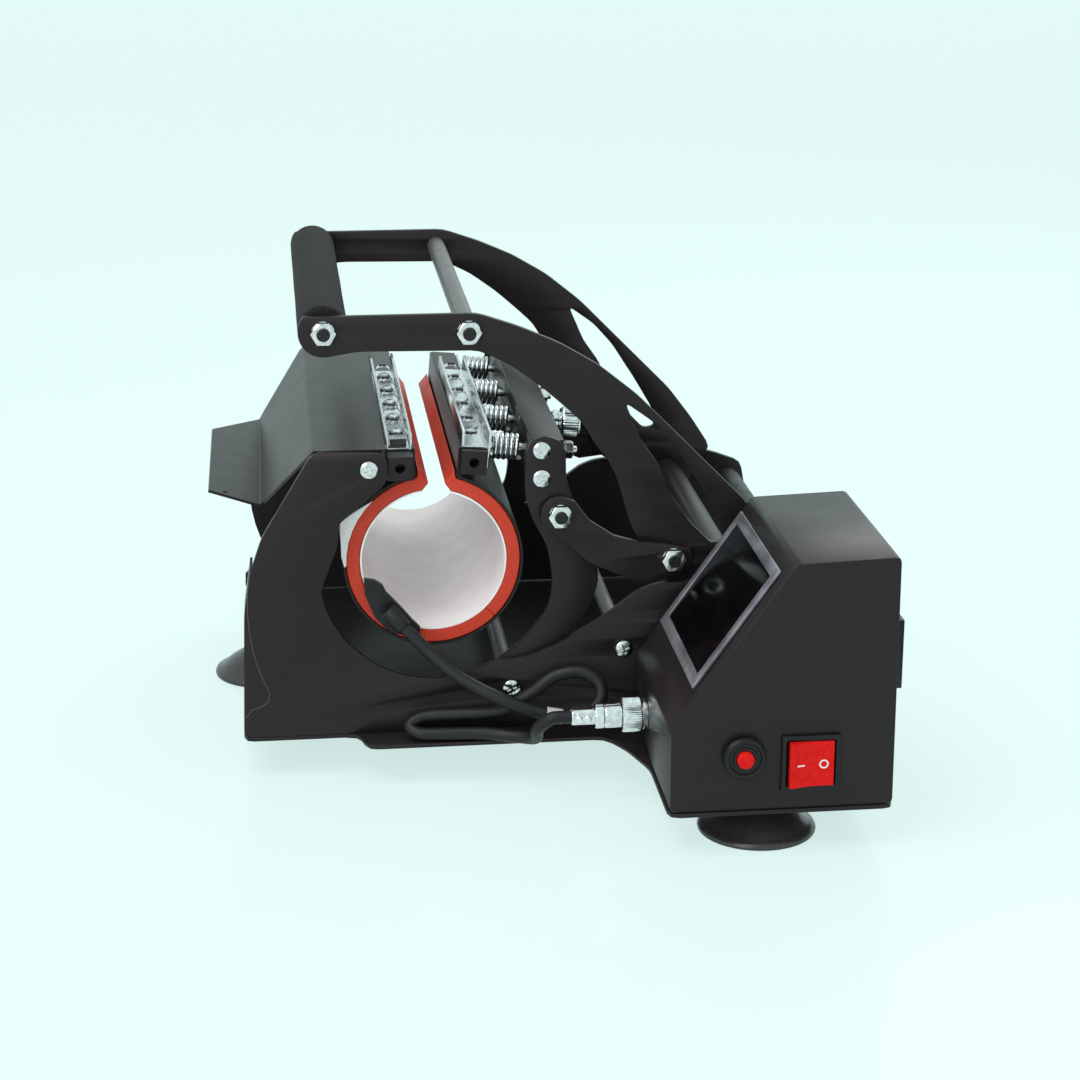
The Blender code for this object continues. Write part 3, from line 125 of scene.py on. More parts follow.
def even_curve(places, steps):
    """Evenly spaced places on the smooth curve through a few given ones."""
    dense = []
    for k in range(len(places) - 1):
        before, start = places[max(k - 1, 0)], places[k]
        end, after = places[k + 1], places[min(k + 2, len(places) - 1)]
        for step in range(steps):
            t = step / steps
            dense.append(0.5 * (2 * start + (end - before) * t
                                + (2 * before - 5 * start + 4 * end - after) * t ** 2
                                + (3 * start - before - 3 * end + after) * t ** 3))
    dense.append(places[-1])
    reached = [0]
    for first, second in zip(dense, dense[1:]):
        reached.append(reached[-1] + (second - first).length)
    picked, spot = [], 0
    for k in range(steps + 1):
        target = reached[-1] * k / steps
        while spot < len(reached) - 2 and reached[spot + 1] < target:
            spot += 1
        share = (target - reached[spot]) / (reached[spot + 1] - reached[spot])
        picked.append(dense[spot].lerp(dense[spot + 1], share))
    return picked


def surface(name):
    """New material: its node tree, its shader, and the place coordinates its textures read."""
    made = bpy.data.materials.new(name)
    made.use_nodes = True
    tree = made.node_tree
    shader = tree.nodes["Principled BSDF"]
    place = tree.nodes.new("ShaderNodeTexCoord").outputs["Object"]
    return made, tree, shader, place


def grain(tree, place, per_metre, detail=2):
    """Noise of a given number of grains per metre."""
    noise = tree.nodes.new("ShaderNodeTexNoise")
    noise.inputs["Scale"].default_value = per_metre
    noise.inputs["Detail"].default_value = detail
    tree.links.new(place, noise.inputs["Vector"])
    return noise.outputs["Fac"]


def graded(tree, factor, stops):
    """Colour or value that changes along a factor, by stops of place and colour."""
    ramp = tree.nodes.new("ShaderNodeValToRGB")
    elements = ramp.color_ramp.elements
    while len(elements) < len(stops):
        elements.new(0.5)
    for element, (spot, colour) in zip(elements, stops):
        element.position = spot
        element.color = (*colour, 1) if len(colour) == 3 else (colour[0],) * 3 + (1,)
    tree.links.new(factor, ramp.inputs["Fac"])
    return ramp.outputs["Color"]


def raised(tree, shader, height, depth):
    """Relief of a given depth in metres on the shader's surface."""
    bump = tree.nodes.new("ShaderNodeBump")
    bump.inputs["Distance"].default_value = depth
    tree.links.new(height, bump.inputs["Height"])
    tree.links.new(bump.outputs["Normal"], shader.inputs["Normal"])


def finish_of(name, dark, light, rough, metallic=0, grains=900, relief=0.00002, gloss=0.5, coat=0):
    """Surface whose colour and gloss both vary over its grains."""
    made, tree, shader, place = surface(name)
    tone = grain(tree, place, grains)
    tree.links.new(graded(tree, tone, [(0.32, dark), (0.68, light)]), shader.inputs["Base Color"])
    cloud = grain(tree, place, grains / 20, 4)
    tree.links.new(graded(tree, cloud, [(0.3, (rough[0],)), (0.7, (rough[1],))]),
                   shader.inputs["Roughness"])
    shader.inputs["Metallic"].default_value = metallic
    shader.inputs["Specular IOR Level"].default_value = gloss
    shader.inputs["Coat Weight"].default_value = coat
    raised(tree, shader, grain(tree, place, grains * 2), relief)
    return made


sleeve_rubber = finish_of("sleeve_rubber", rubber_dark, rubber_light, (0.38, 0.55), grains=1400,
                          relief=0.00003, gloss=0.3)
lead_points = even_curve(route_places, lead_steps)
lead_curve = bpy.data.curves.new("heater_lead_cable", "CURVE")
lead_curve.dimensions = "3D"
lead_curve.bevel_depth = lead_diameter / 2
lead_curve.bevel_resolution = 6
lead_curve.use_fill_caps = True
lead_line = lead_curve.splines.new("POLY")
lead_line.points.add(len(lead_points) - 1)
for spot, place in zip(lead_line.points, lead_points):
    spot.co = (*place, 1)
lead_line.use_smooth = True
lead = added("heater_lead_cable", lead_curve)
lead_curve.materials.append(sleeve_rubber)
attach(lead, "frame")
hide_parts("heater_lead")

# The lead's boot and tag. A flat black rubber tab is moulded to the rim of the ring's lining, with
# a short socket that holds the cable, and a plain pale sleeve is crimped on further along.
tab_outline = [(-43, 122.8), (-36.5, 121.5), (-31.7, 118.4), (-29.6, 113.7), (-21, 104), (-13.7, 94.9),
               (-9, 90), (-9.5, 84), (-17.2, 85.2), (-27.7, 87.3), (-36.7, 97.4), (-42.5, 112.3)]
tab_back, tab_front = -125.4, -130.4
socket_profile = [(0, 0), (0, 4.2), (0.5, 5.2), (1.5, 5.6), (9, 5.4), (15, 5), (15.6, 4.6), (15.6, 0)]
tag_profile = [(0, 0), (0, 4.3), (0.3, 4.7), (9.7, 4.7), (10, 4.3), (10, 0)]
socket_aim, socket_sunk = 8, 0.008
tag_point, tag_aim = 54, 4
crease_deg = 32
turned_sides = 40


def turned(work, start, heading, profile, sides=turned_sides, index=0):
    """Turned solid on an axis; its profile gives distances along and radii, in millimetres."""
    heading = Vector(heading).normalized()
    side = heading.orthogonal().normalized()
    other = heading.cross(side)
    rings = []
    for along, radius in profile:
        centre = start + heading * along / 1000
        ring = []
        for k in range(sides if radius else 1):
            turn = tau * k / sides
            out = side * cos(turn) + other * sin(turn)
            ring.append(work.verts.new(centre + out * radius / 1000))
        rings.append(ring)
    stitch(work, rings, index)


def plain_rod(work, start, heading, radius, length, sides=turned_sides, index=0):
    """Plain round bar, hole or washer on an axis, its radius and length in millimetres."""
    turned(work, start, heading, [(0, 0), (0, radius), (length, radius), (length, 0)], sides, index)


def stitch(work, rings, index=0, capped=False):
    """Faces between neighbouring closed rings of points, where a ring may be one point."""
    for first, second in zip(rings, rings[1:]):
        count = max(len(first), len(second))
        for k in range(count):
            after = (k + 1) % count
            corners = []
            for ring, spots in ((first, (k, after)), (second, (after, k))):
                corners += [ring[0]] if len(ring) == 1 else [ring[spot] for spot in spots]
            if len(corners) > 2:
                work.faces.new(corners).material_index = index
    if capped:
        for ring in (rings[0], rings[-1]):
            work.faces.new(ring).material_index = index


def prism(work, outline, back_y, front_y, index=0):
    """Solid with its outline in the X Z plane, from one Y to another, all in millimetres."""
    rings = [[work.verts.new(at(x, y, z)) for x, z in outline] for y in (back_y, front_y)]
    stitch(work, rings, index, capped=True)


def piece(name, work, finishes, body, slot, *nodes, soften=0, crease=crease_deg):
    """Finished object from its faces: smooth but for sharp edges, with its body and its nodes."""
    bmesh.ops.recalc_face_normals(work, faces=work.faces)
    for face in work.faces:
        face.smooth = True
    for edge in work.edges:
        if len(edge.link_faces) == 2 and edge.calc_face_angle() > radians(crease):
            edge.smooth = False
    mesh = bpy.data.meshes.new(name)
    work.to_mesh(mesh)
    work.free()
    for finish in finishes:
        mesh.materials.append(finish)
    obj = added(name, mesh)
    if soften:
        rim = obj.modifiers.new("soft_edges", "BEVEL")
        rim.limit_method, rim.angle_limit = "ANGLE", radians(crease)
        rim.width, rim.segments, rim.harden_normals = soften, 3, True
    if body:
        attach(obj, body)
    if nodes:
        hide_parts(*nodes)
    return obj


tag_grey = finish_of("tag_vinyl", (0.42, 0.42, 0.45), (0.55, 0.55, 0.58), (0.4, 0.5))
work = bmesh.new()
prism(work, tab_outline, tab_back, tab_front)
heading = lead_points[socket_aim] - lead_points[0]
turned(work, lead_points[0] - heading.normalized() * socket_sunk, heading, socket_profile)
piece("lead_boot_tab", work, [sleeve_rubber], "frame", "black_rubber", "lead_boot", soften=0.0007)
work = bmesh.new()
turned(work, lead_points[tag_point], lead_points[tag_point + tag_aim] - lead_points[tag_point], tag_profile)
piece("lead_tag", work, [tag_grey], "frame", "black_plastic")

# The base plate and its feet. One bent plate carries the side plates and reaches out below the
# control box; three glossy rubber suction feet are screwed up against it.
steel_dark, steel_light = (0.0112, 0.0096, 0.0104), (0.015, 0.013, 0.014)
steel_black = finish_of("powder_coated_steel", steel_dark, steel_light, (0.36, 0.4), grains=1100,
                        relief=0.000012, gloss=0.27)
steel_black.node_tree.nodes["Principled BSDF"].inputs["Specular Tint"].default_value = (1, 0.86, 0.88, 1)
sheet_edge, thin_edge, shell_edge, plate_edge, moulded_edge = 0.0002, 0.0003, 0.0004, 0.0005, 0.0006


def dressed(node, finish, edge=0, crease=crease_deg):
    """Piece of the solid model in its finish, with its sharp edges slightly broken."""
    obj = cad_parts[node]
    obj.data.materials.clear()
    obj.data.materials.append(finish)
    if edge:
        obj.data.shade_smooth()
        weld = obj.modifiers.new("joined_faces", "WELD")
        weld.merge_threshold = 0.00001
        rim = obj.modifiers.new("broken_edges", "BEVEL")
        rim.limit_method, rim.angle_limit = "ANGLE", radians(crease)
        rim.width, rim.segments, rim.harden_normals = edge, 2, True


dressed("base_plate", steel_black, plate_edge)
foot_profile = [(2, 0), (1.8, 17.5), (0.5, 25.5), (0, 28), (0, 33.6), (0.5, 34.7), (1.6, 35), (3.2, 34.3),
                (4.2, 32), (5.6, 29.8), (8.2, 27), (10.5, 24.3), (13.4, 19.6), (16.4, 15.4),
                (17.4, 14.2), (23.6, 14), (23.6, 0)]
foot_rubber = finish_of("moulded_rubber", (0.024, 0.022, 0.024), (0.036, 0.034, 0.036), (0.18, 0.34),
                        grains=500, gloss=0.5)
for node in ("rear_left_foot", "rear_right_foot", "box_foot"):
    low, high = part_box(node)
    work = bmesh.new()
    turned(work, Vector(((low.x + high.x) / 2, (low.y + high.y) / 2, 0)), (0, 0, 1), foot_profile, sides=64)
    piece("turned_" + node, work, [foot_rubber], "frame", "black_rubber", node, crease=50)

# The side plates and covers. Two laser-cut plates stand on the base, the rear one with a waisted end,
# and a bent top cover with a raised wing is screwed between them over a narrow bent end flange.
dressed("front_side_plate", steel_black, plate_edge)
plate_reach, wing_reach = 138.2, 73
top_line = [(-28.3, 207.1, -plate_reach, plate_reach), (-71.6, 207.2, -plate_reach, plate_reach),
            (-73, 206.1, -plate_reach, plate_reach), (-103.2, 156.8, -wing_reach, plate_reach),
            (-104.9, 155.5, -wing_reach, 135.2), (-136.2, 166.1, -wing_reach, wing_reach)]
flange_end = -120
end_line = [(-111.6, 136.4, -plate_reach, flange_end), (-116, 108, -plate_reach, flange_end),
            (-119, 26.8, -plate_reach, flange_end)]
top_thickness, end_thickness = 1.8, 1.5
wing_hole_place, wing_hole_radius, wing_hole_length, hole_sides = (-126, -67.5, 150), 1.6, 25, 24
fold_crease_deg = 40


def bent_sheet(work, line, thickness):
    """Sheet folded along a line of places, each with the sheet's two edges there, in millimetres."""
    rings = []
    for k, (x, z, near, far) in enumerate(line):
        before, after = line[max(k - 1, 0)], line[min(k + 1, len(line) - 1)]
        run = Vector((after[0] - before[0], after[1] - before[1])).normalized()
        inner_x, inner_z = x - run.y * thickness, z + run.x * thickness
        rings.append([work.verts.new(at(*place)) for place in
                      ((x, near, z), (x, far, z), (inner_x, far, inner_z), (inner_x, near, inner_z))])
    stitch(work, rings, capped=True)


def carved(solid, cutter):
    """Mesh of one solid with another taken out of it."""
    objects = []
    for part in (solid, cutter):
        bmesh.ops.recalc_face_normals(part, faces=part.faces)
        mesh = bpy.data.meshes.new("part")
        part.to_mesh(mesh)
        part.free()
        objects.append(added("part", mesh))
    cut = objects[0].modifiers.new("cut", "BOOLEAN")
    cut.operation, cut.object, cut.use_self = "DIFFERENCE", objects[1], True
    bpy.context.view_layer.update()
    made = bpy.data.meshes.new_from_object(objects[0].evaluated_get(bpy.context.evaluated_depsgraph_get()))
    for obj in objects:
        bpy.data.objects.remove(obj)
    return made


sheet = bmesh.new()
bent_sheet(sheet, top_line, top_thickness)
drill = bmesh.new()
plain_rod(drill, at(*wing_hole_place), (0, 0, 1), wing_hole_radius, wing_hole_length, hole_sides)
work = bmesh.new()
work.from_mesh(carved(sheet, drill))
piece("cover_with_wing", work, [steel_black], "frame", "black_steel", "top_cover", soften=thin_edge,
      crease=fold_crease_deg)
work = bmesh.new()
bent_sheet(work, end_line, end_thickness)
piece("end_sheet", work, [steel_black], "frame", "black_steel", "end_cover", soften=sheet_edge,
      crease=fold_crease_deg)
flange_edge = [(-113.8, 119.4), (-114.2, 108), (-113.7, 98.3), (-112.4, 87), (-110.3, 76.8), (-107.5, 68),
               (-104.7, 60.6), (-102.6, 55), (-103.8, 49.7), (-108.5, 46.6), (-113.9, 44.8), (-118, 39.5)]
flange_y, flange_width, flange_proud, flange_sunk = -142.5, 0.75, 0.22, 0.1
waste_corners, waste_near, waste_far = [(-122, 39.5), (-122, 119.4)], 130, 145
joined_within = 0.00001
rear_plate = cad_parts["rear_side_plate"]
plate, waste = bmesh.new(), bmesh.new()
plate.from_mesh(rear_plate.data)
bmesh.ops.transform(plate, matrix=rear_plate.matrix_world, verts=plate.verts)
bmesh.ops.remove_doubles(plate, verts=plate.verts, dist=joined_within)
prism(waste, flange_edge + waste_corners, waste_near, waste_far)
work = bmesh.new()
work.from_mesh(carved(plate, waste))
piece("rear_plate_waisted", work, [steel_black], "frame", "black_steel", "rear_side_plate", soften=plate_edge)


def bead(work, line, y, width, proud, sunk):
    """Raised strip along a line on a plate that faces the viewer, in millimetres."""
    rings = []
    for k, (x, z) in enumerate(line):
        run = Vector(line[min(k + 1, len(line) - 1)]) - Vector(line[max(k - 1, 0)])
        side = Vector((-run.y, run.x)).normalized() * width / 2
        rings.append([work.verts.new(at(x + side.x * share, y - out, z + side.y * share))
                      for share, out in ((-1, -sunk), (-0.6, proud), (0.6, proud), (1, -sunk))])
    stitch(work, rings, capped=True)


# The strip's light grey, much paler than the black steel beside it, is a painted highlight along the end
# flange's cut edge.
painted_edge_highlight = finish_of("cut_edge_painted_highlight", (0.05, 0.048, 0.05), (0.075, 0.072, 0.075), (0.35, 0.5), gloss=0.3)
work = bmesh.new()
bead(work, flange_edge, flange_y, flange_width, flange_proud, flange_sunk)
piece("end_flange_edge", work, [painted_edge_highlight], "frame", "black_steel")

# The cross bars. Turned steel bars tie the two plates together, and hexagon nuts or cross-headed
# screws clamp them from outside; the nuts show the dark threaded end of the stud in their middle.
bright_dark, bright_light = (0.55, 0.55, 0.56), (0.8, 0.8, 0.81)
bright = finish_of("zinc_plate", bright_dark, bright_light, (0.1, 0.24), metallic=1, grains=700,
                   relief=0.000008)
turned_grey = finish_of("turned_steel", (0.16, 0.155, 0.165), (0.24, 0.235, 0.245), (0.3, 0.42),
                        metallic=0.7, grains=1500)
thread_dark = finish_of("dark_thread", (0.01,), (0.03,), (0.35, 0.5),
                        metallic=0.4, gloss=0.3)
plate_seat, plate_nut, plate_stud = 142.8, 147.8, 149.9
arm_seat, arm_nut, arm_stud = 138.3, 143.3, 145.4
nut_flats, nut_edge_drop, nut_face_in = 13, 0.25, 0.5
nut_chamfer_deg = 30
washer_radius, washer_thickness, washer_sunk = 6.9, 0.25, 0.1
hex_points = 24
bar_chamfer, stud_sunk, stud_radius, stud_taper, stud_face_in = 0.4, 1, 4, 0.6, 0.7


def hexagon_nut(work, start, heading, height, flats, index=0):
    """Nut on an axis from its seat, with the corners of its outer face turned off."""
    heading = Vector(heading).normalized()
    side = Vector((0, 0, 1)) if abs(heading.z) < 0.5 else Vector((1, 0, 0))
    side = (side - heading * side.dot(heading)).normalized()
    other = heading.cross(side)
    apothem = flats / 2
    rings = []
    for level in ("seat", "rim", "face"):
        ring = []
        for k in range(hex_points):
            turn = 360 * k / hex_points
            reach = apothem / cos(radians((turn + 30) % 60 - 30))
            drop = (reach - apothem) * tan(radians(nut_chamfer_deg))
            along = {"seat": 0, "rim": height - drop - nut_edge_drop, "face": height}[level]
            reach = apothem - nut_face_in if level == "face" else reach
            turn = radians(turn)
            out = side * cos(turn) + other * sin(turn)
            ring.append(work.verts.new(start + (heading * along + out * reach) / 1000))
        rings.append(ring)
    ends = [[work.verts.new(start)], [work.verts.new(start + heading * height / 1000)]]
    stitch(work, [ends[0]] + rings + [ends[1]], index)


def screw_template(radius, height):
    """Mesh of a domed cross-headed screw on Z, with its recess cut."""
    work = bmesh.new()
    dome = ((0, 0), (0, 1), (0.4, 1), (0.62, 0.95), (0.82, 0.78), (0.95, 0.48), (1, 0.2), (1, 0))
    turned(work, Vector(), (0, 0, 1), [(height * up, radius * out) for up, out in dome], sides=32)
    cross = bmesh.new()
    for wide, slim in ((1.16, 0.26), (0.26, 1.16)):
        size = Vector((radius * wide, radius * slim, height * 1.3)) / 1000
        bmesh.ops.create_cube(cross, size=1, matrix=Matrix.Translation((0, 0, height * 1.05 / 1000))
                              @ Matrix.Diagonal((*size, 1)))
    return carved(work, cross)


def placed(work, template, place, heading, spin=20, index=0):
    """Copy of a template mesh, its Z turned to a heading."""
    before, faces = len(work.verts), len(work.faces)
    work.from_mesh(template)
    work.verts.ensure_lookup_table()
    work.faces.ensure_lookup_table()
    turn = Vector(heading).to_track_quat("Z", "Y").to_matrix().to_4x4()
    matrix = Matrix.Translation(place) @ turn @ Matrix.Rotation(radians(spin), 4, "Z")
    bmesh.ops.transform(work, matrix=matrix, verts=work.verts[before:])
    for face in work.faces[faces:]:
        face.material_index = index


large_screw = screw_template(5.5, 2.5)


def cross_rod(name, node, place, body, radius, half, ends, finish, screws=False):
    """Bar along Y with a nut and stud, or a cross-headed screw, outside each seat."""
    seat, nut, tip = ends
    work = bmesh.new()
    x, z = place
    shoulder, length = radius - bar_chamfer, 2 * half
    turned(work, at(x, -half, z), (0, 1, 0),
           [(0, 0), (0, shoulder), (bar_chamfer, radius), (length - bar_chamfer, radius),
            (length, shoulder), (length, 0)])
    for side in (-1, 1):
        outwards = (0, side, 0)
        plain_rod(work, at(x, side * (half - stud_sunk), z), outwards, stud_radius, seat - half + stud_sunk,
                  index=2)
        if screws:
            placed(work, large_screw, at(x, side * seat, z), outwards, index=1)
            continue
        plain_rod(work, at(x, side * (seat - washer_sunk), z), outwards, washer_radius, washer_thickness,
                  index=1)
        hexagon_nut(work, at(x, side * (seat + washer_thickness - washer_sunk), z), outwards, nut - seat,
                    nut_flats, 1)
        proud = tip - seat
        turned(work, at(x, side * seat, z), outwards,
               [(0, 0), (0, stud_radius), (proud - stud_taper, stud_radius),
                (proud, stud_radius - stud_face_in), (proud, 0)], index=2)
    piece(name, work, [finish, bright, thread_dark], body, "bright_steel", node)


plate_ends, arm_ends = (plate_seat, plate_nut, plate_stud), (arm_seat, arm_nut, arm_stud)
between_plates, between_jaws = 138.2, 133.7
for name, node, place, radius, half, screws in (
        ("jaw_shaft_turned", "jaw_pivot_shaft", (46, 53), 5, between_jaws, True),
        ("lower_tie_turned", "lower_tie_rod", (115.9, 76), 5, between_plates, True),
        ("fulcrum_shaft_turned", "fulcrum_shaft", (187.3, 107.1), 6, between_plates, False),
        ("cover_tie_turned", "cover_tie_rod", (-39, 196), 5, between_plates, True)):
    cross_rod(name, node, place, "frame", radius, half, plate_ends, turned_grey, screws=screws)
stop_place, stop_shaft_start, stop_sleeve_start = (233.1, 99.7), -145, -138.2
stop_shaft = [(0, 0), (0, 4.5), (0.5, 5), (289.5, 5), (290, 4.5), (290, 0)]
stop_sleeve = [(0, 0), (0, 8.4), (0.6, 9), (275.8, 9), (276.4, 8.4), (276.4, 0)]
work = bmesh.new()
for start, profile, index in ((stop_shaft_start, stop_shaft, 1), (stop_sleeve_start, stop_sleeve, 0)):
    turned(work, at(stop_place[0], start, stop_place[1]), (0, 1, 0), profile, index=index)
piece("stop_bar_turned", work, [sleeve_rubber, bright], "frame", "black_rubber", "stop_bar")

# The ring heater. A satin lining, a thick red silicone pad and a black spring band form one ring
# round the bore, with a white shield beside it. The fixed bar holds its left end and the pressing
# strip its right end.
ring_middle = (0, 132)
mouth_x = 2.6
heater_half = 125
lining_inner, lining_outer = 44, 45
pad_inner, pad_outer = 45.3, 53.4
band_inner, band_outer = 53.8, 55.3
seam_deg = -45
arc_step_deg = 3
satin = finish_of("satin_lining", (0.88, 0.84, 0.84), (0.95, 0.915, 0.915), (0.34, 0.46), metallic=0,
                  grains=60, relief=0.00004)
white_steel = finish_of("white_sheet", (0.8, 0.78, 0.78), (0.9, 0.88, 0.88), (0.3, 0.4), metallic=0.2)
silicone_dark, silicone_light = (0.53, 0.04, 0.017), (0.62, 0.052, 0.022)
silicone_red = finish_of("red_silicone", silicone_dark, silicone_light, (0.42, 0.55), grains=900,
                         relief=0.00003, gloss=0.3)


def ring_arc(radius, start, end):
    """Places round the ring's middle, from one angle to another in degrees."""
    steps = max(1, round(abs(end - start) / arc_step_deg))
    turns = [radians(start + (end - start) * k / steps) for k in range(steps + 1)]
    return [(ring_middle[0] + radius * cos(turn), ring_middle[1] + radius * sin(turn))
            for turn in turns]


def mouth_deg(radius, x):
    """Angle at which a ring of a radius reaches a distance from the middle, near its top."""
    return degrees(acos(x / radius))


lining_gap, pad_gap_out, pad_gap_in, pad_bend_out, pad_bend_in = 8.3, 11.2, 4.8, 0.8, 3.5
pad_rise_out, pad_rise_in = 4.7, 4
band_gap, band_thick, band_lean, band_foot_in, band_rise = 12.8, 1.5, 0.77, 0.75, 71.3
band_foot = {-1: 54.4, 1: 53.9}


def ring_piece(name, node, side, layer, finish, slot, soften):
    """One layer's left or right stretch of the ring, from the seam up to the mouth."""
    if layer == "lining":
        inner, outer, lip = lining_inner, lining_outer, []
        top_outer = top_inner = mouth_deg(lining_inner, mouth_x + side * lining_gap)
    elif layer == "pad":
        inner, outer = pad_inner, pad_outer
        out_x, in_x = mouth_x + side * pad_gap_out, mouth_x + side * pad_gap_in
        top_outer = mouth_deg(outer, out_x + side * pad_bend_out)
        top_inner = mouth_deg(inner, in_x + side * pad_bend_in)
        lip = [(out_x, ring_middle[1] + sqrt(outer ** 2 - out_x ** 2) + pad_rise_out),
               (in_x, ring_middle[1] + sqrt(inner ** 2 - in_x ** 2) + pad_rise_in)]
    else:
        inner, outer = band_inner, band_outer
        wall, thick = mouth_x + side * band_gap, side * band_thick
        top_outer = mouth_deg(outer, wall + 2 * thick)
        top_inner = mouth_deg(inner, wall + thick)
        foot, rise = ring_middle[1] + band_foot[side], ring_middle[1] + band_rise
        lean = band_lean if side > 0 else 0
        lip = [(wall + thick - lean, foot), (wall + thick + lean, rise), (wall + lean, rise),
               (wall - lean, foot - band_foot_in)]
    turn = 360 if side < 0 else 0
    outline = ring_arc(outer, turn + seam_deg, top_outer) + lip + ring_arc(inner, top_inner, turn + seam_deg)
    work = bmesh.new()
    prism(work, outline, -heater_half, heater_half)
    obj = piece(name, work, [finish], None, slot, node, soften=soften)
    if side < 0:
        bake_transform(obj)
    else:
        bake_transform(obj)


pad_edge = 0.0009
layers = (("lining", satin, "lining", 0), ("pad", silicone_red, "silicone", pad_edge),
          ("band", steel_black, "bright_steel", 0))
for layer, finish, slot, soften in layers:
    for word, side in (("left", -1), ("right", 1)):
        ring_piece("ring_%s_%s" % (layer, word), "heater_%s_%s" % (layer, word), side, layer, finish, slot,
                   soften)
shield_outline = [(-56.3, 136), (-56.5, 158), (-49.1, 163.5), (-42.2, 168), (-36.5, 171.2), (-41, 166.4),
                  (-45.7, 159.9), (-49.4, 152.5), (-51.9, 144.9), (-53.2, 137), (-53.4, 130.5),
                  (-54.6, 129.5)]
shield_back, shield_front = -125.2, -126.2
work = bmesh.new()
prism(work, shield_outline, shield_back, shield_front)
piece("end_shield", work, [white_steel], "frame", "bright_steel")

# The fixed clamp. A black square bar with a blind hole in its end holds the ring's left end, and a
# bright folded tray with cross-headed screws, clips and a bent tab lies on top of it.
dressed("fixed_clamp_bar", steel_black, plate_edge)
dressed("fixed_clamp_channel", bright, thin_edge)
tray_stations = (-92, -56, -20, 16, 52)
tray_middle, tray_floor = -20, 203.7
small_screw = screw_template(3.6, 2)
strip_middle, strip_tilt_deg, moving_floor = (25.2, 194.37), 5, 9.2
# Black for the small screws under the box lid, and painted shade for the hollows of the trays: the discs
# round the screw heads, a block on each strap where its window is and a patch on the tab.
screw_black_and_painted_shade = finish_of("black_screws_and_painted_shade", (0.02,), (0.05,), (0.3, 0.5), metallic=0.5)


def tray_place(u, v, y):
    """Place in the fixed tray, from the middle of its floor."""
    return at(tray_middle + u, y, tray_floor + v)


def strip_place(u, v, y=0):
    """Place on the pressing strip's tilted axes: along its slide, square to it and along the heater."""
    tilt = radians(strip_tilt_deg)
    return at(strip_middle[0] + u * cos(tilt) + v * sin(tilt), y,
              strip_middle[1] - u * sin(tilt) + v * cos(tilt))


def right_tray_place(u, v, y):
    """Place in the moving tray, from the middle of its floor."""
    return strip_place(u, moving_floor + v, y)


def slab(work, spot, low, high, index=0):
    """Six-sided solid between two corners on a tray's own axes."""
    corners = [[work.verts.new(spot(u, v, y)) for u, y in ((low[0], low[2]), (high[0], low[2]),
                                                           (high[0], high[2]), (low[0], high[2]))]
               for v in (low[1], high[1])]
    stitch(work, corners, index, capped=True)


clip_arch = [(-6.3, 0.1), (-4.6, 2.6), (-2.2, 4.3), (0, 4.8), (2.2, 4.3), (4.6, 2.6), (6.3, 0.1)]
clip_half, clip_inner, clip_thick, clip_along = 3.2, 0.9, 0.9, 14
clip_window_shade = (-2.4, 5.2, -1.8), (2.4, 6.4, 1.8)
tab_block, tab_painted_shade = ((-5.6, 0.1, -117), (5.6, 4.2, -109)), ((-5, 0.4, -118), (5, 3.6, -116.9))
rim_radius, rim_height = 5.6, 0.6
painted_shade_well = [(0, 0), (0, 4.4), (0.5, 4.6), (1, 4.2), (1, 0)]
screw_spin_deg, screw_rise = 35, 1.6


def arched_clip(work, spot, y):
    """Bent strap that bridges a tray from wall to wall."""
    rings = []
    for u, v in clip_arch:
        rings.append([work.verts.new(spot(u * share, v + rise, y + run)) for share, rise, run in
                      ((1, 0, -clip_half), (1, 0, clip_half), (clip_inner, clip_thick, clip_half),
                       (clip_inner, clip_thick, -clip_half))])
    stitch(work, rings, capped=True)


def tray_fittings(name, spot, body, up, tab):
    """Screws on washers, each over a dark disc of painted shade, straps between them, each with a dark block
    of painted shade where its window is, and a bent tab with a dark patch of painted shade at the near end of
    a tray.
    """
    work = bmesh.new()
    for k, y in enumerate(tray_stations):
        plain_rod(work, spot(0, 0, y), up, rim_radius, rim_height)
        turned(work, spot(0, rim_height, y), up, painted_shade_well, index=1)
        placed(work, small_screw, spot(0, screw_rise, y), up, spin=screw_spin_deg * k)
        arched_clip(work, spot, y + clip_along)
        low, high = [(u, v, y + clip_along + run) for u, v, run in clip_window_shade]
        slab(work, spot, low, high, 1)
    if tab:
        slab(work, spot, *tab_block)
        slab(work, spot, *tab_painted_shade, 1)
    piece(name, work, [bright, screw_black_and_painted_shade], body, "bright_steel", soften=sheet_edge)


tray_fittings("fixed_tray_fittings", tray_place, "frame", (0, 0, 1), True)

# The jaw. Two laser-cut plates swing on the front shaft and carry a square bar between them, held
# by two cross-headed screws at each end.
for node in ("front_jaw", "rear_jaw"):
    dressed(node, steel_black, plate_edge)
dressed("jaw_bar", steel_black, plate_edge)
jaw_screws, jaw_seat = ((65.3, 203.5), (65.3, 186)), 138.05
work = bmesh.new()
for x, z in jaw_screws:
    for side in (-1, 1):
        placed(work, large_screw, at(x, side * jaw_seat, z), (0, side, 0), spin=x + z * side)
piece("jaw_screws", work, [bright], "jaw", "bright_steel")

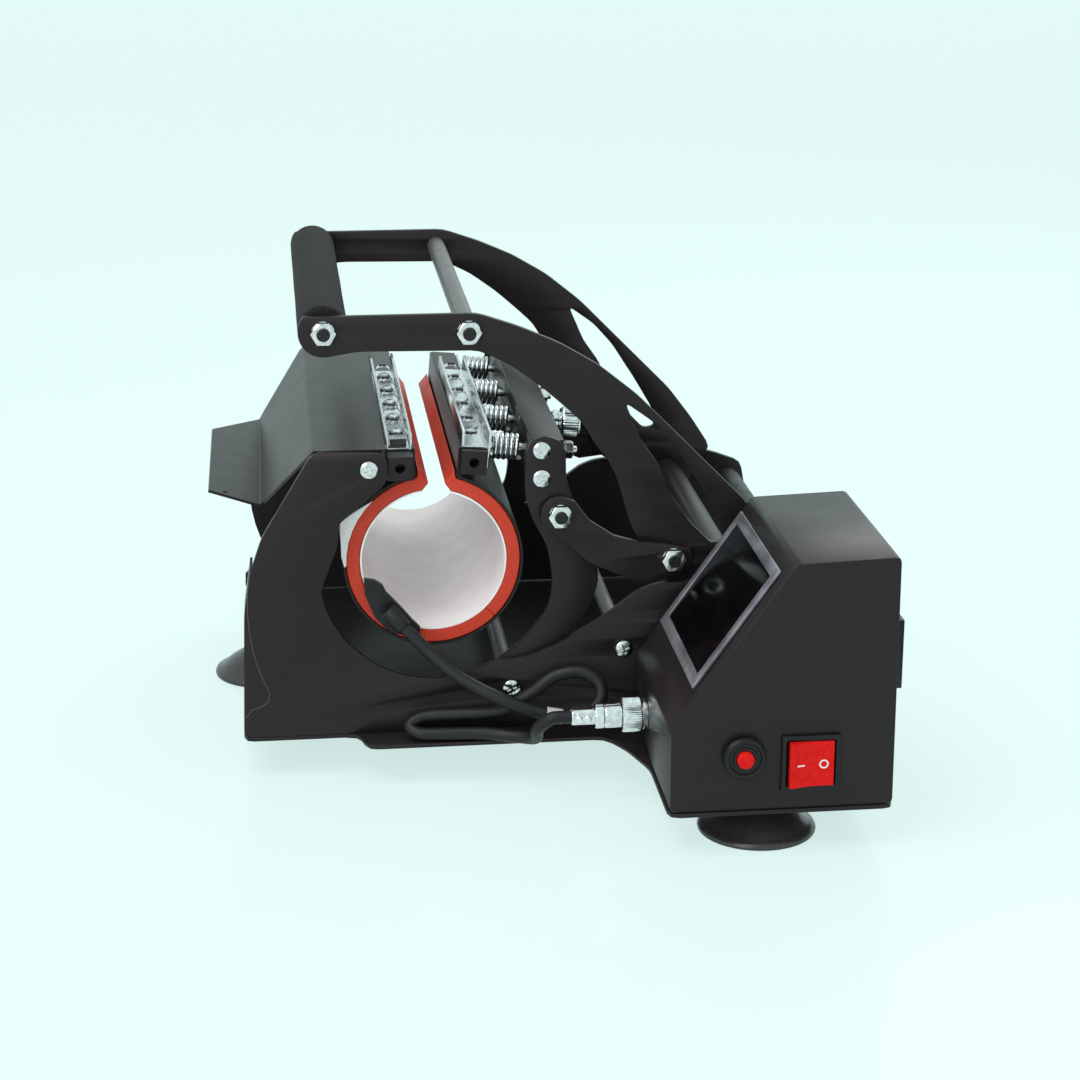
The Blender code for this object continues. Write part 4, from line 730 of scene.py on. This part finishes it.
# The pressing strip. A black square bar slides towards the jaw bar on four bright bolts, whose
# nuts stand behind it, and a bright tray with an apron lies on top of it.
strip_half_wide, strip_half_high, strip_half_length = 8, 7.5, 130
strip_hole_radius, strip_hole_depth, drill_lead = 3, 12, 1
bolt_stations, bolt_rise, bolt_start = (-102, -34, 34, 102), 4.2, 7.8
bolt_profile = [(0, 0), (0, 2.5), (57.4, 2.5), (58, 2), (58, 0)]
bolt_washer_place, bolt_washer_radius, bolt_washer_thick = 53.1, 5.6, 0.3
nut_seats, bolt_nut_height, bolt_nut_flats = (53.4, 58.6), 4.8, 10
dressed("press_channel", bright, thin_edge)
work = bmesh.new()
slab(work, strip_place, (-strip_half_wide, -strip_half_high, -strip_half_length),
     (strip_half_wide, strip_half_high, strip_half_length))
drill = bmesh.new()
plain_rod(drill, strip_place(0, 0, -strip_half_length - drill_lead), (0, 1, 0), strip_hole_radius,
          strip_hole_depth + drill_lead, hole_sides)
slide = strip_place(1, 0) - strip_place(0, 0)
drilled_bar = carved(work, drill)
work = bmesh.new()
work.from_mesh(drilled_bar)
for y in bolt_stations:
    turned(work, strip_place(bolt_start, bolt_rise, y), slide, bolt_profile, sides=24, index=1)
    plain_rod(work, strip_place(bolt_washer_place, bolt_rise, y), slide, bolt_washer_radius,
              bolt_washer_thick, index=1)
    for seat in nut_seats:
        hexagon_nut(work, strip_place(seat, bolt_rise, y), slide, bolt_nut_height, bolt_nut_flats, 1)
piece("pressing_bar", work, [steel_black, bright], "strip", "black_steel", "press_bar", soften=thin_edge)
tray_fittings("moving_tray_fittings", right_tray_place, "strip", -slide.cross(Vector((0, 1, 0))), False)

# The springs. Four compression springs of bright wire with closed ends sit on the bolts between the strip and
# the jaw bar.
coil_start, coil_end = 11.3, 31.4
coil_radius, wire_radius = 7.1, 1.4
open_turns, closed_turns, closed_pitch = 4, 0.8, 2.05
coil_points_per_turn, wire_sides = 28, 12


def spring_places(y):
    """Places along the wire, closed at both ends."""
    turns = open_turns + 2 * closed_turns
    count = round(turns * coil_points_per_turn)
    low, high = coil_start + wire_radius, coil_end - wire_radius
    lead_in = wire_radius * closed_pitch
    places = []
    for k in range(count + 1):
        turn = turns * k / count
        if turn < closed_turns:
            u = low + lead_in * turn
        elif turn > turns - closed_turns:
            u = high - lead_in * (turns - turn)
        else:
            first, last = low + lead_in * closed_turns, high - lead_in * closed_turns
            u = first + (last - first) * (turn - closed_turns) / open_turns
        angle = tau * turn
        places.append(strip_place(u, bolt_rise + coil_radius * cos(angle),
                                  y + coil_radius * sin(angle)))
    return places


def wire(work, places, radius):
    """Round wire through places that are close together, its radius in metres."""
    rings = []
    side = None
    for k, place in enumerate(places):
        run = (places[min(k + 1, len(places) - 1)] - places[max(k - 1, 0)]).normalized()
        side = run.orthogonal() if side is None else side - run * side.dot(run)
        side.normalize()
        other = run.cross(side)
        turns = [tau * j / wire_sides for j in range(wire_sides)]
        rings.append([work.verts.new(place + (side * cos(turn) + other * sin(turn)) * radius)
                      for turn in turns])
    stitch(work, rings, capped=True)


for number, y in enumerate(bolt_stations, 1):
    work = bmesh.new()
    wire(work, spring_places(y), wire_radius / 1000)
    coil = piece("coil_spring_%d" % number, work, [bright], "jaw", "bright_steel", "press_spring_%d" % number,
                 crease=60)
    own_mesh(coil)

# The pressure knob. A knurled bright knob on a stud in the jaw bar sets how hard the strip presses.
knob_y, knob_rise = -68, 13
knob_stud_start, knob_stud_radius, knob_stud_length = 33, 3, 21
knob_collar_start, knob_start = 53.3, 58.8
collar_steps = [(0, 0), (0, 6.4), (0.6, 7), (3.4, 7), (4, 6.2), (5.4, 6.2), (5.4, 0)]
knurls, knurl_depth, knurl_beyond = 80, 0.45, 9.8
knob_profile = [(0, 0), (0, 8.6), (1, 9.5), (1.6, 10), (10.2, 10), (11, 9.5), (11.9, 8.4), (12.1, 6.4),
                (11.7, 5.6), (11.7, 0)]


def knurled(work, start, heading, profile, sides, beyond, depth):
    """Turned solid with every second point beyond a radius pushed in, in millimetres."""
    before = len(work.verts)
    turned(work, start, heading, profile, sides=sides)
    work.verts.ensure_lookup_table()
    axis = Vector(heading).normalized()
    for number, vert in enumerate(work.verts[before:]):
        offset = vert.co - start
        outwards = offset - axis * offset.dot(axis)
        if outwards.length > beyond / 1000 and number % 2:
            vert.co -= outwards.normalized() * depth / 1000


work = bmesh.new()
plain_rod(work, strip_place(knob_stud_start, knob_rise, knob_y), slide, knob_stud_radius,
          knob_stud_length, hole_sides)
turned(work, strip_place(knob_collar_start, knob_rise, knob_y), slide, collar_steps)
knurled(work, strip_place(knob_start, knob_rise, knob_y), slide, knob_profile, knurls, knurl_beyond,
        knurl_depth)
piece("pressure_knob_knurled", work, [bright], "knob", "bright_steel", "pressure_knob", crease=20)

# The lever. Two laser-cut arms turn on the fulcrum tube, with a foam grip on the rod at their ends
# and a turned cross rod between them.
for node in ("front_arm", "rear_arm"):
    dressed(node, steel_black, plate_edge)
grip_place, cross_place, between_arms = (-63.9, 279), (22, 277.4), 133.4
cross_rod("handle_rod_turned", "handle_rod", grip_place, "lever", 5, between_arms, arm_ends, turned_grey)
rod_satin = finish_of("satin_rod", (0.085, 0.082, 0.086), (0.125, 0.12, 0.125), (0.36, 0.46), metallic=0.3,
                      grains=1500)
cross_rod("cross_rod_turned", "cross_rod", cross_place, "lever", 6, between_arms, arm_ends, rod_satin)
fulcrum_start, grip_start = (187.3, -133.3, 107.1), (-63.9, -133.3, 279)
tube_profile = [(0, 6.4), (0, 10.4), (0.6, 11), (266, 11), (266.6, 10.4), (266.6, 6.4), (0, 6.4)]
work = bmesh.new()
turned(work, at(*fulcrum_start), (0, 1, 0), tube_profile, sides=48)
piece("fulcrum_tube_turned", work, [steel_black], "lever", "black_steel", "fulcrum_tube")
grip_foam, tree, shader, place = surface("grip_foam")
cells = tree.nodes.new("ShaderNodeTexVoronoi")
cells.inputs["Scale"].default_value = 1300
tree.links.new(place, cells.inputs["Vector"])
foam_dark, foam_light = (0.006,), (0.014,)
tree.links.new(graded(tree, grain(tree, place, 260), [(0.3, foam_dark), (0.7, foam_light)]),
               shader.inputs["Base Color"])
tree.links.new(graded(tree, cells.outputs["Distance"], [(0, (0.95,)), (1, (0.75,))]),
               shader.inputs["Roughness"])
shader.inputs["Specular IOR Level"].default_value = 0.18
shader.inputs["Sheen Weight"].default_value = 0.03
cell_depth = 0.0004
raised(tree, shader, cells.outputs["Distance"], cell_depth)
grip_profile = [(0, 5.4), (0, 11.4), (0.5, 13.2), (1.6, 14.4), (3.4, 14.9), (40, 14.95), (90, 14.8),
                (134, 14.95), (180, 14.8), (226, 14.95), (263.2, 14.9), (265, 14.4), (266.1, 13.2),
                (266.6, 11.4), (266.6, 5.4), (0, 5.4)]
work = bmesh.new()
turned(work, at(*grip_start), (0, 1, 0), grip_profile, sides=64)
piece("foam_grip", work, [grip_foam], "lever", "black_foam", "handle_grip", crease=60)

# The links. A waisted plate outside each arm turns on a bolt in the lever and carries a bolt that
# runs in the jaw's slot; both bolts end in a hexagon nut.
for node in ("front_link", "rear_link"):
    dressed(node, steel_black, plate_edge)
link_seat, link_nut, link_stud, bolt_inner = 142.8, 147.8, 149, 134.4
link_washer_sunk, link_stud_radius = 0.2, 3.3
link_bolt = [(0, 0), (0, stud_radius), (link_stud - bolt_inner - stud_taper, stud_radius),
             (link_stud - bolt_inner, link_stud_radius), (link_stud - bolt_inner, 0)]
for word, side in (("front", -1), ("rear", 1)):
    for kind, x, z in (("lever_bolt", 146.1, 133.1), ("jaw_bolt", 76.2, 163.3)):
        outwards = (0, side, 0)
        work = bmesh.new()
        turned(work, at(x, side * bolt_inner, z), outwards, link_bolt, index=1)
        plain_rod(work, at(x, side * (link_seat - link_washer_sunk), z), outwards, washer_radius,
                  washer_thickness)
        hexagon_nut(work, at(x, side * link_seat, z), outwards, link_nut - link_seat, nut_flats)
        piece("%s_%s_turned" % (word, kind), work, [bright, thread_dark], "links", "bright_steel",
              "%s_%s" % (word, kind))

# The control box. A folded, powder-coated steel shell with a slanted panel is closed from below by
# a lid, and a silver-grey bezel round a dark glass screen is set in the slant.
dressed("box_shell", steel_black, shell_edge)
dressed("box_lid", steel_black, sheet_edge)
board_green = finish_of("green_board", (0.015, 0.12, 0.045), (0.025, 0.19, 0.07), (0.4, 0.6))
dressed("control_board", board_green, sheet_edge)
bezel_grey = finish_of("bezel_silver", (0.13, 0.13, 0.15), (0.34, 0.34, 0.37), (0.26, 0.4), metallic=0.55,
                       grains=45, relief=0.00001)
dressed("screen_frame", bezel_grey, shell_edge)
screen_black, tree, shader, place = surface("screen_glass")
glass_dark, glass_light = (0.0016, 0.0016, 0.0018), (0.003, 0.003, 0.0034)
tree.links.new(graded(tree, grain(tree, place, 30), [(0.3, glass_dark), (0.7, glass_light)]),
               shader.inputs["Base Color"])
tree.links.new(graded(tree, grain(tree, place, 90), [(0.3, (0.1,)), (0.7, (0.16,))]),
               shader.inputs["Roughness"])
shader.inputs["Specular IOR Level"].default_value = 0.02
dressed("screen_glass", screen_black, thin_edge)
lid_screws, lid_seat = ((136, -165), (238, -165), (136, -270), (238, -270)), 24.05
tiny_screw = screw_template(2.6, 1.4)
work = bmesh.new()
for x, y in lid_screws:
    placed(work, tiny_screw, at(x, y, lid_seat), (0, 0, -1), spin=x - y)
piece("lid_screws", work, [screw_black_and_painted_shade], "frame", "bright_steel")

# The power switch. A black snap-in bezel holds a translucent red rocker of two faces, with the
# usual bar and ring moulded into it in white.
moulding = finish_of("black_moulding", (0.0045, 0.0045, 0.005), (0.009, 0.009, 0.01), (0.28, 0.4),
                     gloss=0.3)
red_glow = finish_of("red_moulding", (0.6, 0.01, 0.01), (0.72, 0.016, 0.014), (0.34, 0.46), grains=300,
                     gloss=0.05)
mark_white = finish_of("white_mark", (0.75, 0.72, 0.72), (0.85, 0.82, 0.82), (0.35, 0.45))
dressed("rocker_frame", moulding, moulded_edge)
rocker_x, rocker_z = 203.1, 55
rocker_half_high, rocker_half_wide = 13.5, 13
rocker_front = -285.3
flat_y, proud_y = rocker_front - 1.5, rocker_front - 4.6
rocker_line = [(rocker_half_wide, flat_y), (0.4, flat_y), (-0.4, flat_y - 0.12),
               (-rocker_half_wide + 0.5, proud_y + 0.1), (-rocker_half_wide, proud_y + 0.7)]
rocker_back = [(rocker_half_wide * cos(radians(turn)),
                rocker_front + rocker_half_wide * sin(radians(turn)))
               for turn in range(168, 8, -12)]
work = bmesh.new()
rings = [[work.verts.new(at(rocker_x + x, y, rocker_z + level)) for x, y in rocker_line + rocker_back]
         for level in (-rocker_half_high, rocker_half_high)]
stitch(work, rings, capped=True)
piece("rocker_red", work, [red_glow], "power_switch", "red_plastic", "rocker", soften=moulded_edge)
mark_proud, mark_sunk = 0.06, 0.3
bar_x, bar_half_long, bar_half_slim = -6.5, 2.2, 0.45


def rocker_face(x):
    """Distance of the rocker's face from the viewer's side, at a place across it."""
    return flat_y if x > 0 else flat_y + (proud_y - flat_y) * -x / rocker_half_wide


work = bmesh.new()
corners = [(bar_x + share * bar_half_long, rocker_z + up * bar_half_slim)
           for share, up in ((-1, -1), (1, -1), (1, 1), (-1, 1))]
rings = [[work.verts.new(at(rocker_x + x, rocker_face(x) + step, z)) for x, z in corners]
         for step in (mark_sunk, -mark_proud)]
stitch(work, rings)
work.faces.new(rings[1])
piece("rocker_mark_on", work, [mark_white], "power_switch", "red_plastic")
ring_x_mark, ring_radius, ring_width, ring_sides = 7, 2.3, 0.45, 28
ring_section = ((ring_radius - ring_width, mark_sunk), (ring_radius - ring_width, -mark_proud),
                (ring_radius + ring_width, -mark_proud), (ring_radius + ring_width, mark_sunk))
work = bmesh.new()
rings = []
for k in range(ring_sides):
    turn = tau * k / ring_sides
    rings.append([work.verts.new(at(rocker_x + ring_x_mark + reach * cos(turn), flat_y + step,
                                    rocker_z + reach * sin(turn))) for reach, step in ring_section])
stitch(work, rings + [rings[0]])
piece("rocker_mark_off", work, [mark_white], "power_switch", "red_plastic")

# The circuit breaker. A round black body with a grooved collar is screwed into the panel, and its
# red button pops out of the middle when it trips.
breaker_place = (164.6, -283.1, 59.9)
collar_profile = [(0, 8), (0, 12), (1.4, 12), (1.8, 11.5), (2.3, 11.5), (2.7, 11.9), (3.4, 11.7), (3.9, 11),
                  (4, 9.6), (3.2, 9), (3.2, 7.4), (3.9, 7), (4, 6.2), (4, 5.4), (3.4, 5.2),
                  (-8, 5.2), (-8, 5), (-24, 5), (-24, 8), (0, 8)]
button_profile = [(-12, 0), (-12, 4.9), (6.2, 4.9), (6.8, 4.5), (7.1, 3.4), (7.2, 0)]
work = bmesh.new()
turned(work, at(*breaker_place), (0, -1, 0), collar_profile, sides=64)
piece("breaker_collar", work, [moulding], "frame", "black_plastic", "breaker_body", crease=40)
work = bmesh.new()
turned(work, at(*breaker_place), (0, -1, 0), button_profile, sides=48)
piece("reset_cap", work, [red_glow], "reset", "red_plastic", "reset_button", crease=50)

# The power inlet. A black moulded socket on the wall that faces away from the viewer, with three
# flat pins standing in its well.
inlet_edge = 0.0008
dressed("power_inlet", moulding, inlet_edge)
inlet_low, inlet_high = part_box("power_inlet")
inlet_middle = (inlet_low + inlet_high) / 2
pin_places, pin_size, pin_inset = ((0, 7), (-5, -4), (5, -4)), Vector((0.012, 0.002, 0.005)), 0.0095
work = bmesh.new()
for y, z in pin_places:
    middle = Vector((inlet_high.x - pin_inset, inlet_middle.y + y / 1000, inlet_middle.z + z / 1000))
    bmesh.ops.create_cube(work, size=1, matrix=Matrix.Translation(middle) @ Matrix.Diagonal((*pin_size, 1)))
piece("inlet_pins", work, [bright], "frame", "bright_steel", soften=thin_edge)

# The connector. A chromed socket on the box's left wall takes the lead's plug, which a knurled ring
# screws to it; the plug's tail is stepped and a saddle with two small screws clamps it to the cable.
chrome = finish_of("chrome", (0.62, 0.62, 0.63), (0.86, 0.86, 0.87), (0.06, 0.14), metallic=1, grains=300,
                   relief=0.000004)
socket_place, ring_place, plug_place = (132.4, -194.8, 52.9), (118.8, -194.8, 52.9), (108.8, -194.8, 52.9)
socket_steps = [(0, 0), (0, 6.3), (10, 6.3), (10, 9.3), (10.3, 9.5), (12.6, 9.5), (13, 9.1), (13, 6.4),
                (23.1, 6.3), (23.1, 0)]
ring_steps = [(0, 6.9), (0, 9.6), (0.8, 10.4), (11, 10.4), (11.8, 9.4), (11.8, 6.9), (0, 6.9)]
ring_knurls, ring_knurl_beyond, ring_knurl_depth = 96, 10, 0.4
plug_steps = [(0, 0), (0, 6.4), (2.1, 6.4), (2.1, 7.2), (2.5, 7.5), (11.5, 7.5), (11.9, 7.1), (12.6, 7.1),
              (13, 7.5), (17.6, 7.5), (18.1, 7), (18.1, 5), (31.8, 5), (32.2, 4.6), (32.2, 0)]
plug_screws = ((86.5, -199, 52.9), (81, -199, 52.9))
plug_screw_steps = [(0, 0), (0, 2.1), (1.6, 2.1), (2, 1.7), (2, 0)]
saddle_middle, saddle_low, saddle_high = (83.5, -194.8, 52.9), (-6, 3.2, -4.6), (6, 6, 4.6)
left = (-1, 0, 0)
work = bmesh.new()
turned(work, at(*socket_place), left, socket_steps, sides=48)
piece("socket_chromed", work, [chrome], "frame", "bright_steel", "panel_socket")
work = bmesh.new()
knurled(work, at(*ring_place), left, ring_steps, ring_knurls, ring_knurl_beyond, ring_knurl_depth)
piece("ring_knurled", work, [chrome], "coupling_ring", "bright_steel", "plug_ring", crease=20)


def saddle_spot(u, v, y):
    """Place on the saddle that clamps the cable, from its middle."""
    return at(saddle_middle[0] + u, saddle_middle[1] + y, saddle_middle[2] + v)


work = bmesh.new()
turned(work, at(*plug_place), left, plug_steps, sides=48)
for place in plug_screws:
    turned(work, at(*place), (0, -1, 0), plug_screw_steps, sides=24)
slab(work, saddle_spot, saddle_low, saddle_high)
piece("plug_chromed", work, [chrome], "frame", "bright_steel", "plug_body", soften=sheet_edge)

# The studio. A pale floor runs on out of sight under plain soft light; it shows the press's shadow
# and a faint mirror image, and the same pale colour stands all round it.
backdrop = (0.79, 0.985, 0.958)
world = bpy.data.worlds.new("studio")
bpy.context.scene.world = world
world.use_nodes = True
nodes, links = world.node_tree.nodes, world.node_tree.links
nodes.clear()
shown = nodes.new("ShaderNodeBackground")
shown.inputs["Color"].default_value = (*backdrop, 1)
lit = nodes.new("ShaderNodeBackground")
lit.inputs["Color"].default_value = (1, 0.965, 0.965, 1)
lit.inputs["Strength"].default_value = 0.8


def seen_directly(nodes, links):
    """One where a camera, glossy or transmission ray meets a surface, and zero elsewhere."""
    path = nodes.new("ShaderNodeLightPath")
    found = path.outputs["Is Camera Ray"]
    for kind in ("Is Glossy Ray", "Is Transmission Ray"):
        either = nodes.new("ShaderNodeMath")
        either.operation = "MAXIMUM"
        links.new(found, either.inputs[0])
        links.new(path.outputs[kind], either.inputs[1])
        found = either.outputs[0]
    return found


mixed = nodes.new("ShaderNodeMixShader")
links.new(seen_directly(nodes, links), mixed.inputs["Fac"])
links.new(lit.outputs[0], mixed.inputs[1])
links.new(shown.outputs[0], mixed.inputs[2])
links.new(mixed.outputs[0], nodes.new("ShaderNodeOutputWorld").inputs["Surface"])

floor_half = 12
floor_mesh = bpy.data.meshes.new("floor")
floor_corners = [(x * floor_half, y * floor_half, 0) for x, y in ((-1, -1), (1, -1), (1, 1), (-1, 1))]
floor_mesh.from_pydata(floor_corners, [], [(0, 1, 2, 3)])
floor = added("floor", floor_mesh)
floor_finish, tree, shader, place = surface("studio_floor")
floor_colour = (0.74, 0.92, 0.9)
shader.inputs["Base Color"].default_value = (*floor_colour, 1)
shader.inputs["Roughness"].default_value = 0.12
shader.inputs["Specular IOR Level"].default_value = 0.35
glow = tree.nodes.new("ShaderNodeEmission")
glow.inputs["Color"].default_value = (*backdrop, 1)
blended = tree.nodes.new("ShaderNodeMixShader")
share = tree.nodes.new("ShaderNodeMath")
share.operation = "MULTIPLY"
share.inputs[1].default_value = 0.76
tree.links.new(seen_directly(tree.nodes, tree.links), share.inputs[0])
tree.links.new(share.outputs[0], blended.inputs["Fac"])
tree.links.new(shader.outputs[0], blended.inputs[1])
tree.links.new(glow.outputs[0], blended.inputs[2])
tree.links.new(blended.outputs[0], tree.nodes["Material Output"].inputs["Surface"])
floor_mesh.materials.append(floor_finish)
floor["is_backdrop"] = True
light_aim = Vector((0, 0, 0.15))
lights = (("key", (-0.7, -0.5, 1.6), 1.3, 14), ("front", (-1.2, -1.9, 1), 1.2, 11),
          ("back", (0.9, 1.2, 1.3), 1, 9))
for name, place, size, power in lights:
    lamp = bpy.data.lights.new(name, "AREA")
    lamp.shape, lamp.size, lamp.energy = "DISK", size, power
    lamp_stand = added(name, lamp)
    lamp_stand.location = place
    lamp_stand.rotation_euler = (light_aim - Vector(place)).to_track_quat("-Z", "Y").to_euler()

low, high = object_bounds()
